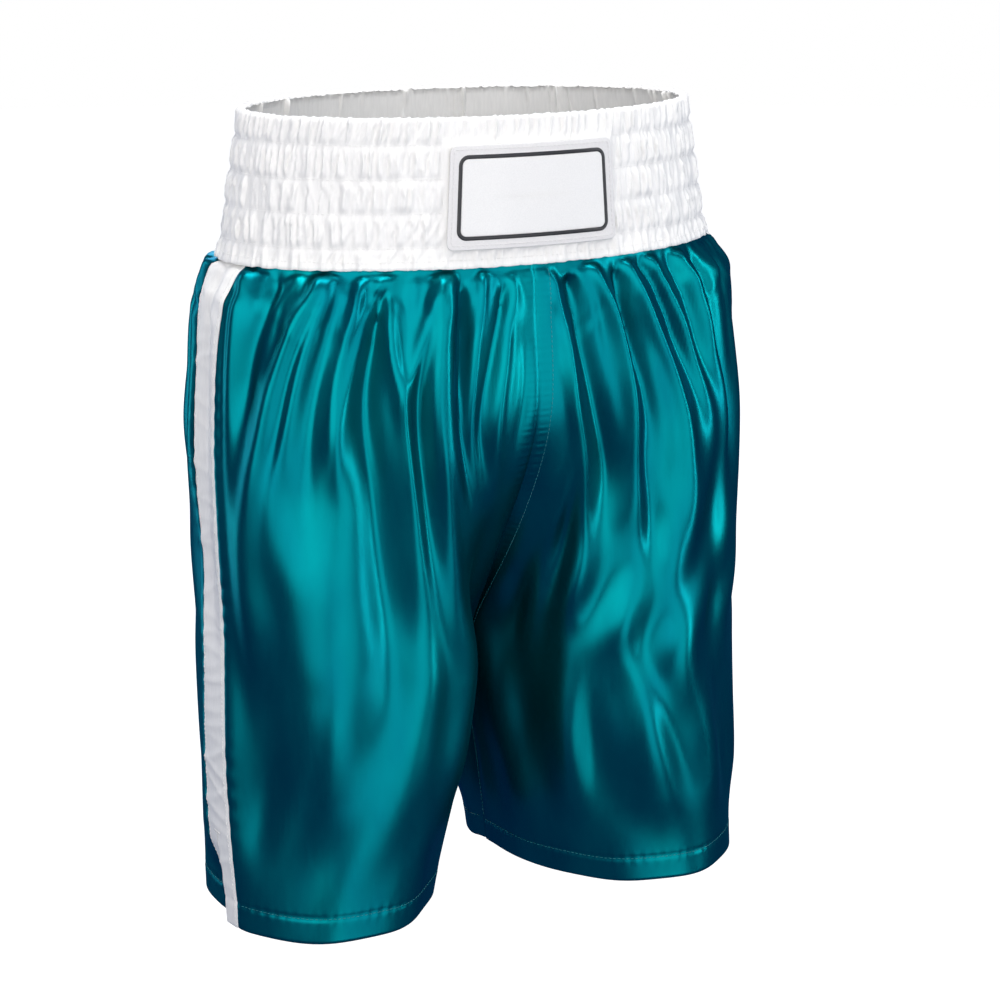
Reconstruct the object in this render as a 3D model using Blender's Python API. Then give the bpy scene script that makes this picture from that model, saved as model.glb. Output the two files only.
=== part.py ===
"""Boxing shorts, as sewn: every cloth piece, the elastic, the patch and the stitching are their own objects.

Metres, +Z up. The origin is the centre of the waist opening at the rim, the front faces -Y and the
wearer's right side is at -X. Depth means the distance down from the rim.
"""

import math

import bmesh
import bpy
import numpy as np

# Overall sizes
OUTSEAM = 0.575  # rim to hem, along the side
CROTCH_DEPTH = 0.390
RISE_START = 0.190  # where the centre seams begin to curve under
RISE_SWEEP = 1.4  # 1 takes them straight to the crotch, more keeps them out longer
GAP_START = 0.465  # the legs hang side by side down to here
HIP_LEVEL = 0.225  # depth of the widest place
BAND_HEIGHT = 0.100
RIM_HALF_WIDTH = 0.168
RIM_HALF_DEPTH = 0.105
BASE_HALF_WIDTH = 0.186  # at the bottom of the waistband
BASE_HALF_DEPTH = 0.108
HIP_HALF_WIDTH = 0.205
HIP_HALF_DEPTH = 0.121
HEM_HALF_WIDTH = 0.2055
HEM_HALF_DEPTH = 0.110
HEM_BACKWARD = 0.013  # how far the middle of each hem lies behind the middle of the waist
LEG_GAP = 0.041  # between the two hems
CROTCH_GAP = 0.004  # between the two legs where they hang side by side
TOE_OUT = math.radians(22)  # how far each leg's oval turns outward at the hem
SQUARENESS = 2.45  # exponent of the hip's oval, 2 for a plain ellipse

# Cloth, seams and trim
SATIN = 0.0009
BAND_SATIN = 0.0010
BAND_THICKNESS = 0.0060
ELASTIC_CLEARANCE = 0.0008
RIM_ROUNDING = 0.0007
SEAM_GAP = 0.0006
SEAM_TUCK = 0.008  # how far the panels run up inside the waistband
TUCK_CLEARANCE = 0.0006
TUCK_RELEASE = 0.010  # below the waistband, the panels come out to their full size over this height
HEM_DEPTH = 0.018
HEM_LAYER = 0.0009  # what the turned-up cloth adds
STRIPE_WIDTH = 0.036
STRIPE_FORWARD_TOP = 0.008
STRIPE_FORWARD_HEM = 0.017
VENT_HEIGHT = 0.064
VENT_OPENING = 0.007
RISE_STITCH_INSET = 0.010
EDGE_STITCH_INSET = 0.0025
THREAD_RADIUS = 0.0003
THREAD_CLEARANCE = 0.0003
STITCH_ROW_COUNT = 4
STITCH_ROW_FIRST = 0.018
STITCH_ROW_MARGIN = 0.014  # from the last row down to the bottom of the waistband
BARTACK_LENGTH = 0.009
BARTACK_RADIUS = 0.0006

# Patch
PATCH_WIDTH = 0.125
PATCH_TOP = 0.018
PATCH_MARGIN = 0.012  # from the patch down to the bottom of the waistband
PATCH_HEIGHT = BAND_HEIGHT - PATCH_TOP - PATCH_MARGIN
PATCH_THICKNESS = 0.0016
PATCH_CLEARANCE = 0.0003
PATCH_CORNER = 0.005
OUTLINE_MARGIN = 0.0065
OUTLINE_WIDTH = 0.0028
OUTLINE_THICKNESS = 0.0008
OUTLINE_CORNER = 0.007
PATCH_STITCH_INSET = 0.003

# How the centre seam's course blends into the round of the leg
BLEND_ABOVE = 0.02
BLEND_BELOW = 0.10
BLEND_SPEED = 2.6  # higher keeps the seam's course closer to the seam
ROW_BLEND_SPEED = 2.2
CROTCH_CLEARANCE = 0.012  # the stitching stops this far above and below the crotch point

# Mesh density
BAND_SHARES = (1, 0.66, 0.33)  # where the waistband has rows of vertices
CORNER_STEPS = 3
PATCH_STEPS = 12
SHARP_ANGLE = math.radians(40)
RING_STEPS = 72
PANEL_COLUMNS = 12
PANEL_ROWS = 22
DENSE = 400

SIDES = {"right": -1, "left": 1}


def smooth(x):
    """0 below 0, 1 above 1, and a soft step between."""
    x = np.clip(x, 0.0, 1.0)
    return x * x * (3 - 2 * x)


def along(depth, stations):
    """The value at a depth, from (depth, value) stations joined by soft steps."""
    for (d0, v0), (d1, v1) in zip(stations, stations[1:]):
        if depth <= d1:
            share = np.clip((depth - d0) / (d1 - d0), 0.0, 1.0)
            return v0 + (v1 - v0) * (share + smooth(share)) / 2
    return stations[-1][1]


def half_width(depth):
    if depth < BAND_HEIGHT:
        return RIM_HALF_WIDTH + (BASE_HALF_WIDTH - RIM_HALF_WIDTH) * depth / BAND_HEIGHT
    return along(depth, [(BAND_HEIGHT, BASE_HALF_WIDTH), (HIP_LEVEL, HIP_HALF_WIDTH), (OUTSEAM, HEM_HALF_WIDTH)])


def half_depth(depth):
    if depth < BAND_HEIGHT:
        return RIM_HALF_DEPTH + (BASE_HALF_DEPTH - RIM_HALF_DEPTH) * depth / BAND_HEIGHT
    return along(depth, [(BAND_HEIGHT, BASE_HALF_DEPTH), (HIP_LEVEL, HIP_HALF_DEPTH), (OUTSEAM, HEM_HALF_DEPTH)])


def backward(depth):
    return along(depth, [(BAND_HEIGHT, 0.0), (OUTSEAM, HEM_BACKWARD)])


def spread_evenly(points, count):
    """count points at equal steps of length along a polyline."""
    steps = np.linalg.norm(np.diff(points, axis=0), axis=1)
    length = np.concatenate([[0.0], np.cumsum(steps)])
    wanted = np.linspace(0, length[-1], count)
    return np.stack([np.interp(wanted, length, points[:, axis]) for axis in range(2)], axis=1)


def half_body(depth):
    """One side's outline from centre front (first) over the side (middle) to centre back (last)."""
    exponent = along(depth, [(BAND_HEIGHT, 2.0), (HIP_LEVEL, SQUARENESS)])
    turn = np.linspace(0, math.pi, 2 * DENSE + 1)
    across = np.sin(turn) ** (2 / exponent)
    forward = np.sign(np.cos(turn)) * np.abs(np.cos(turn)) ** (2 / exponent)
    outline = np.stack([half_width(depth) * across, backward(depth) - half_depth(depth) * forward], axis=1)
    front, back = outline[: DENSE + 1], outline[DENSE:]
    return np.concatenate([spread_evenly(front, DENSE + 1), spread_evenly(back, DENSE + 1)[1:]])


def leg_loop(depth):
    """One leg's outline from its inner point round the front to the side and round the back again."""
    below = np.clip((depth - GAP_START) / (OUTSEAM - GAP_START), 0, 1)
    inner = (CROTCH_GAP + (LEG_GAP - CROTCH_GAP) * below) / 2
    outer = half_width(depth)
    wide, deep = (outer - inner) / 2, half_depth(depth)
    toe = TOE_OUT * smooth((depth - RISE_START) / (OUTSEAM - RISE_START))
    cos2, sin2 = math.cos(toe) ** 2, math.sin(toe) ** 2
    across = math.sqrt((wide**2 * cos2 - deep**2 * sin2) / math.cos(2 * toe))
    ahead = math.sqrt((deep**2 * cos2 - wide**2 * sin2) / math.cos(2 * toe))
    turn = np.linspace(0, 2 * math.pi, 4 * DENSE + 1)[:-1]
    x, y = across * np.cos(turn), ahead * np.sin(turn)
    middle = (outer + inner) / 2
    loop = np.stack(
        [middle + x * math.cos(toe) - y * math.sin(toe), backward(depth) + x * math.sin(toe) + y * math.cos(toe)],
        axis=1,
    )
    loop = np.roll(loop, -int(np.argmin(loop[:, 0])), axis=0)
    side = int(np.argmax(loop[:, 0]))
    first, second = loop[: side + 1], np.concatenate([loop[side:], loop[:1]])
    return np.concatenate([spread_evenly(first, DENSE + 1), spread_evenly(second, DENSE + 1)[1:]])


def rise_share(depth):
    """How far the centre seam has come from the belly to the crotch."""
    return np.clip((depth - RISE_START) / (CROTCH_DEPTH - RISE_START), 0.0, 1.0) ** RISE_SWEEP


def surface(turn, depth):
    """The outside of one leg's half of the shorts. turn runs from 0, centre front, over 0.5, the side,
    to 1, centre back. x is counted outward from the middle of the shorts."""
    index = turn * 2 * DENSE
    low = min(int(index), 2 * DENSE - 1)
    share = index - low
    body, leg = half_body_at(depth), leg_loop_at(depth)
    on_body = body[low] + (body[low + 1] - body[low]) * share
    on_leg = leg[low] + (leg[low + 1] - leg[low]) * share
    from_centre = smooth(BLEND_SPEED * min(turn, 1 - turn))
    slow = smooth((depth - RISE_START + BLEND_ABOVE) / (CROTCH_DEPTH + BLEND_BELOW - RISE_START))
    to_leg = rise_share(depth) * (1 - from_centre) + slow * from_centre
    place = on_body + (on_leg - on_body) * to_leg
    return np.array([max(place[0], SEAM_GAP / 2), place[1], -depth])


outlines = {}


def half_body_at(depth):
    key = ("body", round(depth, 7))
    if key not in outlines:
        outlines[key] = half_body(depth)
    return outlines[key]


def leg_loop_at(depth):
    key = ("leg", round(depth, 7))
    if key not in outlines:
        outlines[key] = leg_loop(depth)
    return outlines[key]


def outline_length(depth):
    key = ("length", round(depth, 7))
    if key not in outlines:
        outline = np.array([surface(turn, depth) for turn in np.linspace(0, 1, 81)])
        outlines[key] = np.linalg.norm(np.diff(outline, axis=0), axis=1).sum()
    return outlines[key]


def side_turn(depth, offset):
    """The turn of a point this far behind (+) or ahead (-) of the middle of the side stripe."""
    ahead = along(depth, [(BAND_HEIGHT, STRIPE_FORWARD_TOP), (OUTSEAM, STRIPE_FORWARD_HEM)])
    return 0.5 + (offset - ahead) / outline_length(depth)


def rise_depths(count):
    """Depths down the centre seam and the inseam at equal steps along the cloth."""
    fine = np.linspace(BAND_HEIGHT + TUCK_CLEARANCE, OUTSEAM, 1200)
    across = np.array([rise_share(depth) * half_depth(depth) for depth in fine])
    length = np.concatenate([[0.0], np.cumsum(np.hypot(np.diff(fine), np.diff(across)))])
    return np.interp(np.linspace(0, length[-1], count), length, fine)


def material(name, colour, roughness, metallic=0.0):
    made = bpy.data.materials.get(name) or bpy.data.materials.new(name)
    made.use_nodes = True
    shader = made.node_tree.nodes["Principled BSDF"]
    shader.inputs["Base Color"].default_value = (*colour, 1.0)
    shader.inputs["Roughness"].default_value = roughness
    shader.inputs["Metallic"].default_value = metallic
    return made


def add_object(name, mesh, finish):
    mesh.materials.append(finish)
    made = bpy.data.objects.new(name, mesh)
    bpy.context.scene.collection.objects.link(made)
    return made


def shell(name, grid, thickness, finish, kept=None):
    """A sheet of cloth as a closed solid. grid[row][column] is its outer side, thickness[row] runs inward,
    and kept(row, column) says which cells have cloth. Rows run down and columns run clockwise from above."""
    rows, columns = grid.shape[:2]
    cells = [(r, c) for r in range(rows - 1) for c in range(columns - 1) if kept is None or kept(r, c)]
    used = sorted({(r + i, c + j) for r, c in cells for i in (0, 1) for j in (0, 1)})
    work = bmesh.new()
    outer = {key: work.verts.new(grid[key]) for key in used}
    for r, c in cells:
        work.faces.new([outer[r, c], outer[r, c + 1], outer[r + 1, c + 1], outer[r + 1, c]])
    work.normal_update()
    inner = {key: work.verts.new(outer[key].co - outer[key].normal * thickness[key[0]]) for key in used}
    twin = {outer[key]: inner[key] for key in used}
    rim = [(loop.vert, loop.link_loop_next.vert) for e in work.edges if e.is_boundary for loop in e.link_loops]
    for r, c in cells:
        work.faces.new([inner[r, c], inner[r + 1, c], inner[r + 1, c + 1], inner[r, c + 1]])
    for a, b in rim:
        work.faces.new([b, a, twin[a], twin[b]])
    mesh = bpy.data.meshes.new(name)
    work.to_mesh(mesh)
    work.free()
    mesh.shade_smooth()
    mesh.set_sharp_from_angle(angle=SHARP_ANGLE)
    return add_object(name, mesh, finish)


def mirrored(grid, side):
    """The grid on its own side of the shorts, with its outer face still outward."""
    placed = grid * np.array([SIDES[side], 1.0, 1.0])
    return placed if side == "right" else placed[:, ::-1]


def ring(name, profile, finish):
    """A closed band round the waist. profile is (inset, depth) points, round the section from the outside."""
    work = bmesh.new()
    loops = []
    for inset, depth in profile:
        wide, deep = half_width(depth) - inset, half_depth(depth) - inset
        turns = [2 * math.pi * step / RING_STEPS for step in range(RING_STEPS)]
        loops.append([work.verts.new((wide * math.cos(t), deep * math.sin(t), -depth)) for t in turns])
    for first, second in zip(loops, loops[1:] + loops[:1]):
        for step in range(RING_STEPS):
            after = (step + 1) % RING_STEPS
            work.faces.new([first[step], first[after], second[after], second[step]])
    bmesh.ops.recalc_face_normals(work, faces=work.faces)
    mesh = bpy.data.meshes.new(name)
    work.to_mesh(mesh)
    work.free()
    mesh.shade_smooth()
    mesh.set_sharp_from_angle(angle=SHARP_ANGLE)
    return add_object(name, mesh, finish)


def thread(name, points, finish, radius=THREAD_RADIUS, closed=False):
    curve = bpy.data.curves.new(name, "CURVE")
    curve.dimensions = "3D"
    curve.bevel_depth = radius
    curve.bevel_resolution = 0
    curve.use_fill_caps = not closed
    spline = curve.splines.new("POLY")
    spline.points.add(len(points) - 1)
    for place, point in zip(spline.points, points):
        place.co = (*point, 1.0)
    spline.use_cyclic_u = closed
    curve.materials.append(finish)
    made = bpy.data.objects.new(name, curve)
    bpy.context.scene.collection.objects.link(made)
    return made


def raised(grid, row, column, height):
    """A point this far above the outer side of a grid."""
    down = grid[min(row + 1, len(grid) - 1), column] - grid[max(row - 1, 0), column]
    over = grid[row, min(column + 1, grid.shape[1] - 1)] - grid[row, max(column - 1, 0)]
    normal = np.cross(over, down)
    return grid[row, column] + normal / np.linalg.norm(normal) * height


SEWN_HEIGHT = THREAD_RADIUS + THREAD_CLEARANCE


def build_waistband(satin, elastic, thread_finish):
    cloth, rim = BAND_SATIN, RIM_ROUNDING
    fold = cloth + ELASTIC_CLEARANCE
    inside = BAND_THICKNESS - cloth
    outer_depths = [BAND_HEIGHT * share for share in BAND_SHARES] + [rim]
    ring(
        "waistband_cover",
        [(0, depth) for depth in outer_depths]
        + [(rim, 0), (BAND_THICKNESS - rim, 0)]
        + [(BAND_THICKNESS, depth) for depth in reversed(outer_depths)]
        + [(inside, BAND_HEIGHT), (inside, fold), (cloth, fold), (cloth, BAND_HEIGHT)],
        satin,
    )
    near, far = cloth + ELASTIC_CLEARANCE, inside - ELASTIC_CLEARANCE
    top, bottom = fold + ELASTIC_CLEARANCE, BAND_HEIGHT - SEAM_TUCK - 2 * TUCK_CLEARANCE
    ring("waistband_elastic", [(near, bottom), (near, top), (far, top), (far, bottom)], elastic)
    for row in range(STITCH_ROW_COUNT):
        share = row / (STITCH_ROW_COUNT - 1)
        depth = STITCH_ROW_FIRST + (BAND_HEIGHT - STITCH_ROW_MARGIN - STITCH_ROW_FIRST) * share
        thread(f"waistband_stitch_row_{row + 1}", band_route(depth), thread_finish, closed=not covered(depth))
    seam_depth = BAND_HEIGHT - 2 * EDGE_STITCH_INSET
    thread("waist_seam_stitching", band_route(seam_depth), thread_finish, closed=True)


def covered(depth):
    """Whether the patch lies over this depth of the waistband."""
    return PATCH_TOP - EDGE_STITCH_INSET < depth < PATCH_TOP + PATCH_HEIGHT + EDGE_STITCH_INSET


def band_route(depth):
    """A stitch row round the waistband. Behind the patch it stops short of the patch's edges."""
    wide, deep = half_width(depth) + SEWN_HEIGHT, half_depth(depth) + SEWN_HEIGHT
    route = []
    for step in range(RING_STEPS + 1):
        turn = 2 * math.pi * step / RING_STEPS - math.pi / 2
        point = (wide * math.cos(turn), deep * math.sin(turn), -depth)
        hidden = covered(depth) and point[1] < 0 and abs(point[0]) < PATCH_WIDTH / 2 + 2 * THREAD_RADIUS
        if not hidden:
            route.append(point)
    return route if covered(depth) else route[:-1]


def patch_place(across, down, lift):
    """A point over the front of the waistband, across metres from its middle along the band."""
    depth = PATCH_TOP + down
    wide, deep = half_width(depth) + lift, half_depth(depth) + lift
    turn = across / half_width(PATCH_TOP + PATCH_HEIGHT / 2)
    return (wide * math.sin(turn), -deep * math.cos(turn), -depth)


def rounded_outline(width, height, corner):
    """Points round a rectangle with round corners, from the middle of its top, with its long sides divided."""
    points = []
    centres = ((1, 1, 0), (-1, 1, 90), (-1, -1, 180), (1, -1, 270))
    for sx, sy, start in centres:
        for step in range(CORNER_STEPS + 1):
            angle = math.radians(start + 90 * step / CORNER_STEPS)
            x = sx * (width / 2 - corner) + corner * math.cos(angle)
            y = sy * (height / 2 - corner) + corner * math.sin(angle)
            points.append((x, y))
        if start in (0, 180):
            run = np.linspace(sx * (width / 2 - corner), -sx * (width / 2 - corner), PATCH_STEPS + 1)[1:-1]
            points += [(x, sy * height / 2) for x in run]
    return points


def patch_strips(work, loops, lift):
    """Verts for each loop of (across, up) points, at a lift over the waistband."""
    middle = PATCH_HEIGHT / 2
    return [[work.verts.new(patch_place(x, middle - y, lift)) for x, y in loop] for loop in loops]


def curved_plate(name, loops, low, high, finish, open_middle=False):
    """A plate that follows the waistband, between two lifts. loops run from the outline inward."""
    work = bmesh.new()
    bottom, top = patch_strips(work, loops, low), patch_strips(work, loops, high)
    count = len(loops[0])
    for first, second in zip(range(len(loops)), range(1, len(loops))):
        for step in range(count):
            after = (step + 1) % count
            work.faces.new([top[first][step], top[first][after], top[second][after], top[second][step]])
            low_out, low_in = bottom[first], bottom[second]
            work.faces.new([low_out[step], low_in[step], low_in[after], low_out[after]])
    for step in range(count):
        after = (step + 1) % count
        work.faces.new([top[0][step], bottom[0][step], bottom[0][after], top[0][after]])
        if open_middle:
            work.faces.new([top[-1][step], top[-1][after], bottom[-1][after], bottom[-1][step]])
    if not open_middle:
        close_middle(work, top[-1], loops[-1])
        close_middle(work, bottom[-1], loops[-1])
    bmesh.ops.recalc_face_normals(work, faces=work.faces)
    mesh = bpy.data.meshes.new(name)
    work.to_mesh(mesh)
    work.free()
    mesh.shade_smooth()
    mesh.set_sharp_from_angle(angle=SHARP_ANGLE)
    return add_object(name, mesh, finish)


def close_middle(work, verts, loop):
    """Fills a loop with upright strips, so that the plate bends only along the waistband."""
    upper = sorted((i for i, (x, y) in enumerate(loop) if y > 0), key=lambda i: loop[i][0])
    lower = sorted((i for i, (x, y) in enumerate(loop) if y < 0), key=lambda i: loop[i][0])
    for a, b, c, d in zip(upper, upper[1:], lower, lower[1:]):
        work.faces.new([verts[a], verts[b], verts[d], verts[c]])


def build_patch(base_finish, outline_finish, face_finish, thread_finish):
    base_low = PATCH_CLEARANCE
    base_high = base_low + PATCH_THICKNESS
    plain = rounded_outline(PATCH_WIDTH, PATCH_HEIGHT, PATCH_CORNER)
    curved_plate("patch_base", [plain], base_low, base_high, base_finish)
    wide, tall = PATCH_WIDTH - 2 * OUTLINE_MARGIN, PATCH_HEIGHT - 2 * OUTLINE_MARGIN
    low = base_high + PATCH_CLEARANCE
    frame = [
        rounded_outline(wide, tall, OUTLINE_CORNER),
        rounded_outline(wide - 2 * OUTLINE_WIDTH, tall - 2 * OUTLINE_WIDTH, OUTLINE_CORNER - OUTLINE_WIDTH),
    ]
    curved_plate("patch_outline", frame, low, low + OUTLINE_THICKNESS, outline_finish, open_middle=True)
    inside = 2 * OUTLINE_WIDTH + 2 * PATCH_CLEARANCE
    face = rounded_outline(wide - inside, tall - inside, OUTLINE_CORNER - OUTLINE_WIDTH - PATCH_CLEARANCE)
    curved_plate("patch_face", [face], low, low + OUTLINE_THICKNESS / 2, face_finish)
    inset = 2 * PATCH_STITCH_INSET
    stitched = rounded_outline(PATCH_WIDTH - inset, PATCH_HEIGHT - inset, PATCH_CORNER / 2)
    lift = base_high + SEWN_HEIGHT
    route = [patch_place(x, PATCH_HEIGHT / 2 - y, lift) for x, y in stitched]
    thread("patch_stitching", route, thread_finish, closed=True)


def tucked(place, depth):
    """Moves a point near the top of a panel inward, to fit inside the bottom of the waistband."""
    inset = BAND_SATIN + TUCK_CLEARANCE
    out = smooth((depth - BAND_HEIGHT - TUCK_CLEARANCE) / TUCK_RELEASE)
    centre = np.array([0.0, backward(depth), -depth])
    radial = place - centre
    size = np.linalg.norm(radial[:2])
    return centre + radial * np.array([1 - inset * (1 - out) / size] * 2 + [1.0])


def side_rows():
    """Depths of the rows where the panels and the side stripe meet, with rows at the vent and the hem line."""
    above = np.linspace(BAND_HEIGHT + TUCK_CLEARANCE, OUTSEAM - VENT_HEIGHT, PANEL_ROWS - 2)
    below = [OUTSEAM - (VENT_HEIGHT + HEM_DEPTH) / 2, OUTSEAM - HEM_DEPTH, OUTSEAM]
    return np.concatenate([[BAND_HEIGHT - SEAM_TUCK], above, below])


def panel_depths(turn, edge_depths):
    """Row depths at a turn: equal steps of cloth at the centre seam, and the side's own rows at the side."""
    towards_side = smooth(ROW_BLEND_SPEED * min(turn, 1 - turn))
    return edge_depths + (side_rows() - edge_depths) * towards_side


def panel_grid(half):
    """The outer side of a right panel: rows from the waistband down, columns from front to back."""
    upper = rise_depths(4 * PANEL_ROWS)
    upper = upper[upper < OUTSEAM - HEM_DEPTH]
    share = np.linspace(0, 1, PANEL_ROWS)
    inner = np.interp(share, np.linspace(0, 1, len(upper)), upper)
    inner[-1] = OUTSEAM - HEM_DEPTH
    edge = np.concatenate([[BAND_HEIGHT - SEAM_TUCK], inner, [OUTSEAM]])
    stitch = RISE_STITCH_INSET / outline_length(BAND_HEIGHT)
    shares = np.concatenate([[0, 2 * stitch], np.linspace(4 * stitch, 1, PANEL_COLUMNS - 1)])
    grid = np.zeros((len(edge), len(shares), 3))
    for column, across in enumerate(shares):
        guess = across / 2 if half == "front" else 1 - across / 2
        for row, depth in enumerate(panel_depths(guess, edge)):
            offset = STRIPE_WIDTH / 2 + SEAM_GAP
            limit = side_turn(depth, -offset if half == "front" else offset)
            seam = SEAM_GAP / outline_length(depth)
            first = seam if half == "front" else 1 - seam
            turn = first + across * (limit - first)
            grid[row, column] = tucked(surface(turn, depth), depth)
    return grid if half == "front" else grid[:, ::-1]


def build_panels(satin, thread_finish):
    for half in ("front", "back"):
        grid = panel_grid(half)
        rows, columns = grid.shape[:2]
        thickness = [SATIN] * (rows - 2) + [SATIN + HEM_LAYER] * 2
        for side in SIDES:
            placed = mirrored(grid, side)
            shell(f"{half}_{side}_panel", placed, thickness, satin)
            hem = [raised(placed, rows - 2, column, SEWN_HEIGHT) for column in range(1, columns - 1)]
            thread(f"{side}_hem_stitching_{half}", hem, thread_finish)
        seam_column = 1 if half == "front" else columns - 2
        left = grid * np.array([SIDES["left"], 1.0, 1.0])
        seam = grid[:, seam_column]
        under_crotch = next(row for row in range(rows) if seam[row][2] < CROTCH_CLEARANCE - CROTCH_DEPTH)
        flipped = left[:, ::-1]
        rise = [raised(flipped, row, columns - 1 - seam_column, SEWN_HEIGHT) for row in range(2, under_crotch)]
        thread(f"{half}_rise_topstitching", rise, thread_finish)
        if half == "back":
            continue
        for side in SIDES:
            placed = mirrored(grid, side)
            column = 1 if side == "right" else columns - 2
            seam = [raised(placed, row, column, SEWN_HEIGHT) for row in range(under_crotch + 2, rows - 2)]
            thread(f"{side}_inseam_stitching", seam, thread_finish)


def stripe_grid():
    """The outer side of a right stripe: its edges, its stitch lines and the two lips of the vent."""
    half, stitched = STRIPE_WIDTH / 2, STRIPE_WIDTH / 2 - EDGE_STITCH_INSET
    grid = []
    for depth in side_rows():
        share = np.clip((depth - (OUTSEAM - VENT_HEIGHT)) / VENT_HEIGHT, 0, 1)
        lip = (SEAM_GAP + (VENT_OPENING - SEAM_GAP) * share) / 2
        offsets = (-half, -stitched, -lip, lip, stitched, half)
        grid.append([tucked(surface(side_turn(depth, offset), depth), depth) for offset in offsets])
    return np.array(grid)


def build_stripes(satin, thread_finish):
    grid = stripe_grid()
    rows = len(grid)
    vent_row = rows - 4
    thickness = [SATIN] * (rows - 2) + [SATIN + HEM_LAYER] * 2
    for side in SIDES:
        placed = mirrored(grid, side)
        shell(f"{side}_side_stripe", placed, thickness, satin, lambda row, column: column != 2 or row < vent_row)
        for half, column in (("front", 1), ("back", 4)):
            own = column if side == "right" else 5 - column
            seam = [raised(placed, row, own, SEWN_HEIGHT) for row in range(2, rows - 1)]
            thread(f"{side}_stripe_topstitching_{half}", seam, thread_finish)
        lift = BARTACK_RADIUS + THREAD_CLEARANCE
        middle = (raised(placed, vent_row, 2, lift) + raised(placed, vent_row, 3, lift)) / 2
        middle = middle + np.array([0, 0, 2 * BARTACK_RADIUS])
        along_side = placed[vent_row, 4] - placed[vent_row, 1]
        along_side = along_side / np.linalg.norm(along_side) * BARTACK_LENGTH / 2
        bartack = [middle - along_side, middle, middle + along_side]
        thread(f"{side}_vent_bartack", bartack, thread_finish, BARTACK_RADIUS)


def main():
    for old in list(bpy.data.objects):
        bpy.data.objects.remove(old, do_unlink=True)
    white = material("white_satin", (0.86, 0.87, 0.88), 0.38)
    teal = material("teal_satin", (0.0, 0.22, 0.24), 0.28)
    elastic = material("white_elastic", (0.82, 0.82, 0.80), 0.85)
    rubber = material("off_white_patch", (0.80, 0.79, 0.76), 0.55)
    black = material("black_outline", (0.01, 0.01, 0.01), 0.35)
    face = material("patch_face", (0.86, 0.86, 0.84), 0.45)
    white_thread = material("white_thread", (0.85, 0.85, 0.85), 0.6)
    teal_thread = material("teal_thread", (0.0, 0.16, 0.18), 0.6)
    build_waistband(white, elastic, white_thread)
    build_patch(rubber, black, face, white_thread)
    build_panels(teal, teal_thread)
    build_stripes(white, white_thread)


main()
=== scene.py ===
"""Boxing shorts: the gathered satin, the shirred waistband, the patch and every row of stitches, as a sewer
would list them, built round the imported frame.

Metres, +Z up, the waist opening's centre at the origin and the front towards -Y. Depth is the distance
down from the rim. Turn runs round one half of the shorts, from 0 at the centre front over 0.5 at the side
to 1 at the centre back. Both halves are worked out as the wearer's right half, and the left is mirrored.
"""

import math

import bpy
import numpy as np
from bpy.props import FloatProperty, FloatVectorProperty, IntProperty, PointerProperty
from bpy.types import Operator, Panel, PropertyGroup
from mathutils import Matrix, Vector


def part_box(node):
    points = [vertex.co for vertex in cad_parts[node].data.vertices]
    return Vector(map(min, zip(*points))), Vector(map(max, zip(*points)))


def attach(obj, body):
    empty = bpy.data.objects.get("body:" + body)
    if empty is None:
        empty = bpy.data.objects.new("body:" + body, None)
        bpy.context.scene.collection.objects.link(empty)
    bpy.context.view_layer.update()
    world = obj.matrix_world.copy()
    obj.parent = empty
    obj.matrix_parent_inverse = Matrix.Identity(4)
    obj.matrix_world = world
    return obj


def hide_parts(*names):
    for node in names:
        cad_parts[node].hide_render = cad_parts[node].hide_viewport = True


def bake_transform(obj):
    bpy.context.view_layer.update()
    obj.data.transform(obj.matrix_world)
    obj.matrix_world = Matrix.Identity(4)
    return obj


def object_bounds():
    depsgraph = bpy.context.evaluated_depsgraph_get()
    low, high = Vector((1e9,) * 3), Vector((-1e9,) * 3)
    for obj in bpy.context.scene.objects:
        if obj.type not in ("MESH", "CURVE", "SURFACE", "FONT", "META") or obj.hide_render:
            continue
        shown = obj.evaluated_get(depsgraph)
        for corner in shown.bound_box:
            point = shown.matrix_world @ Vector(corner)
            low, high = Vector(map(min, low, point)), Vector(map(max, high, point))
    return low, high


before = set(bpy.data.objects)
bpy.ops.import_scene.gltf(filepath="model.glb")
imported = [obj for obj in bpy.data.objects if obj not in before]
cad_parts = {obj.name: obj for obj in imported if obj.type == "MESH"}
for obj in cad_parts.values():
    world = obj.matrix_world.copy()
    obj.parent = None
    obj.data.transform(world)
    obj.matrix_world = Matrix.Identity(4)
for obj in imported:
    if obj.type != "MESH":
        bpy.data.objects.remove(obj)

bl_info = {
    "name": "Boxing Shorts Sewing",
    "version": (1, 0, 0),
    "blender": (4, 5, 0),
    "location": "View3D > Sidebar > Boxing Shorts",
    "description": "Sews the visible cloth, trim and stitching of a pair of boxing shorts round its frame",
    "category": "Object",
}

CAD_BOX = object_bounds()
BAND_LOW, BAND_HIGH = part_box("waistband_cover")
PATCH_LOW, PATCH_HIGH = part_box("patch_base")
STRIPE_LOW, STRIPE_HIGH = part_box("right_side_stripe")
BARTACK_LOW, BARTACK_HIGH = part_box("right_vent_bartack")

# Sizes read from the frame
OUTSEAM = -STRIPE_LOW.z
BAND_HEIGHT = -BAND_LOW.z
BASE_HALF_WIDTH = BAND_HIGH.x
BASE_HALF_DEPTH = BAND_HIGH.y
PATCH_HEIGHT = PATCH_HIGH.z - PATCH_LOW.z
PATCH_TOP = -PATCH_HIGH.z
VENT_HEIGHT = OUTSEAM + (BARTACK_LOW.z + BARTACK_HIGH.z) / 2

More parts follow.
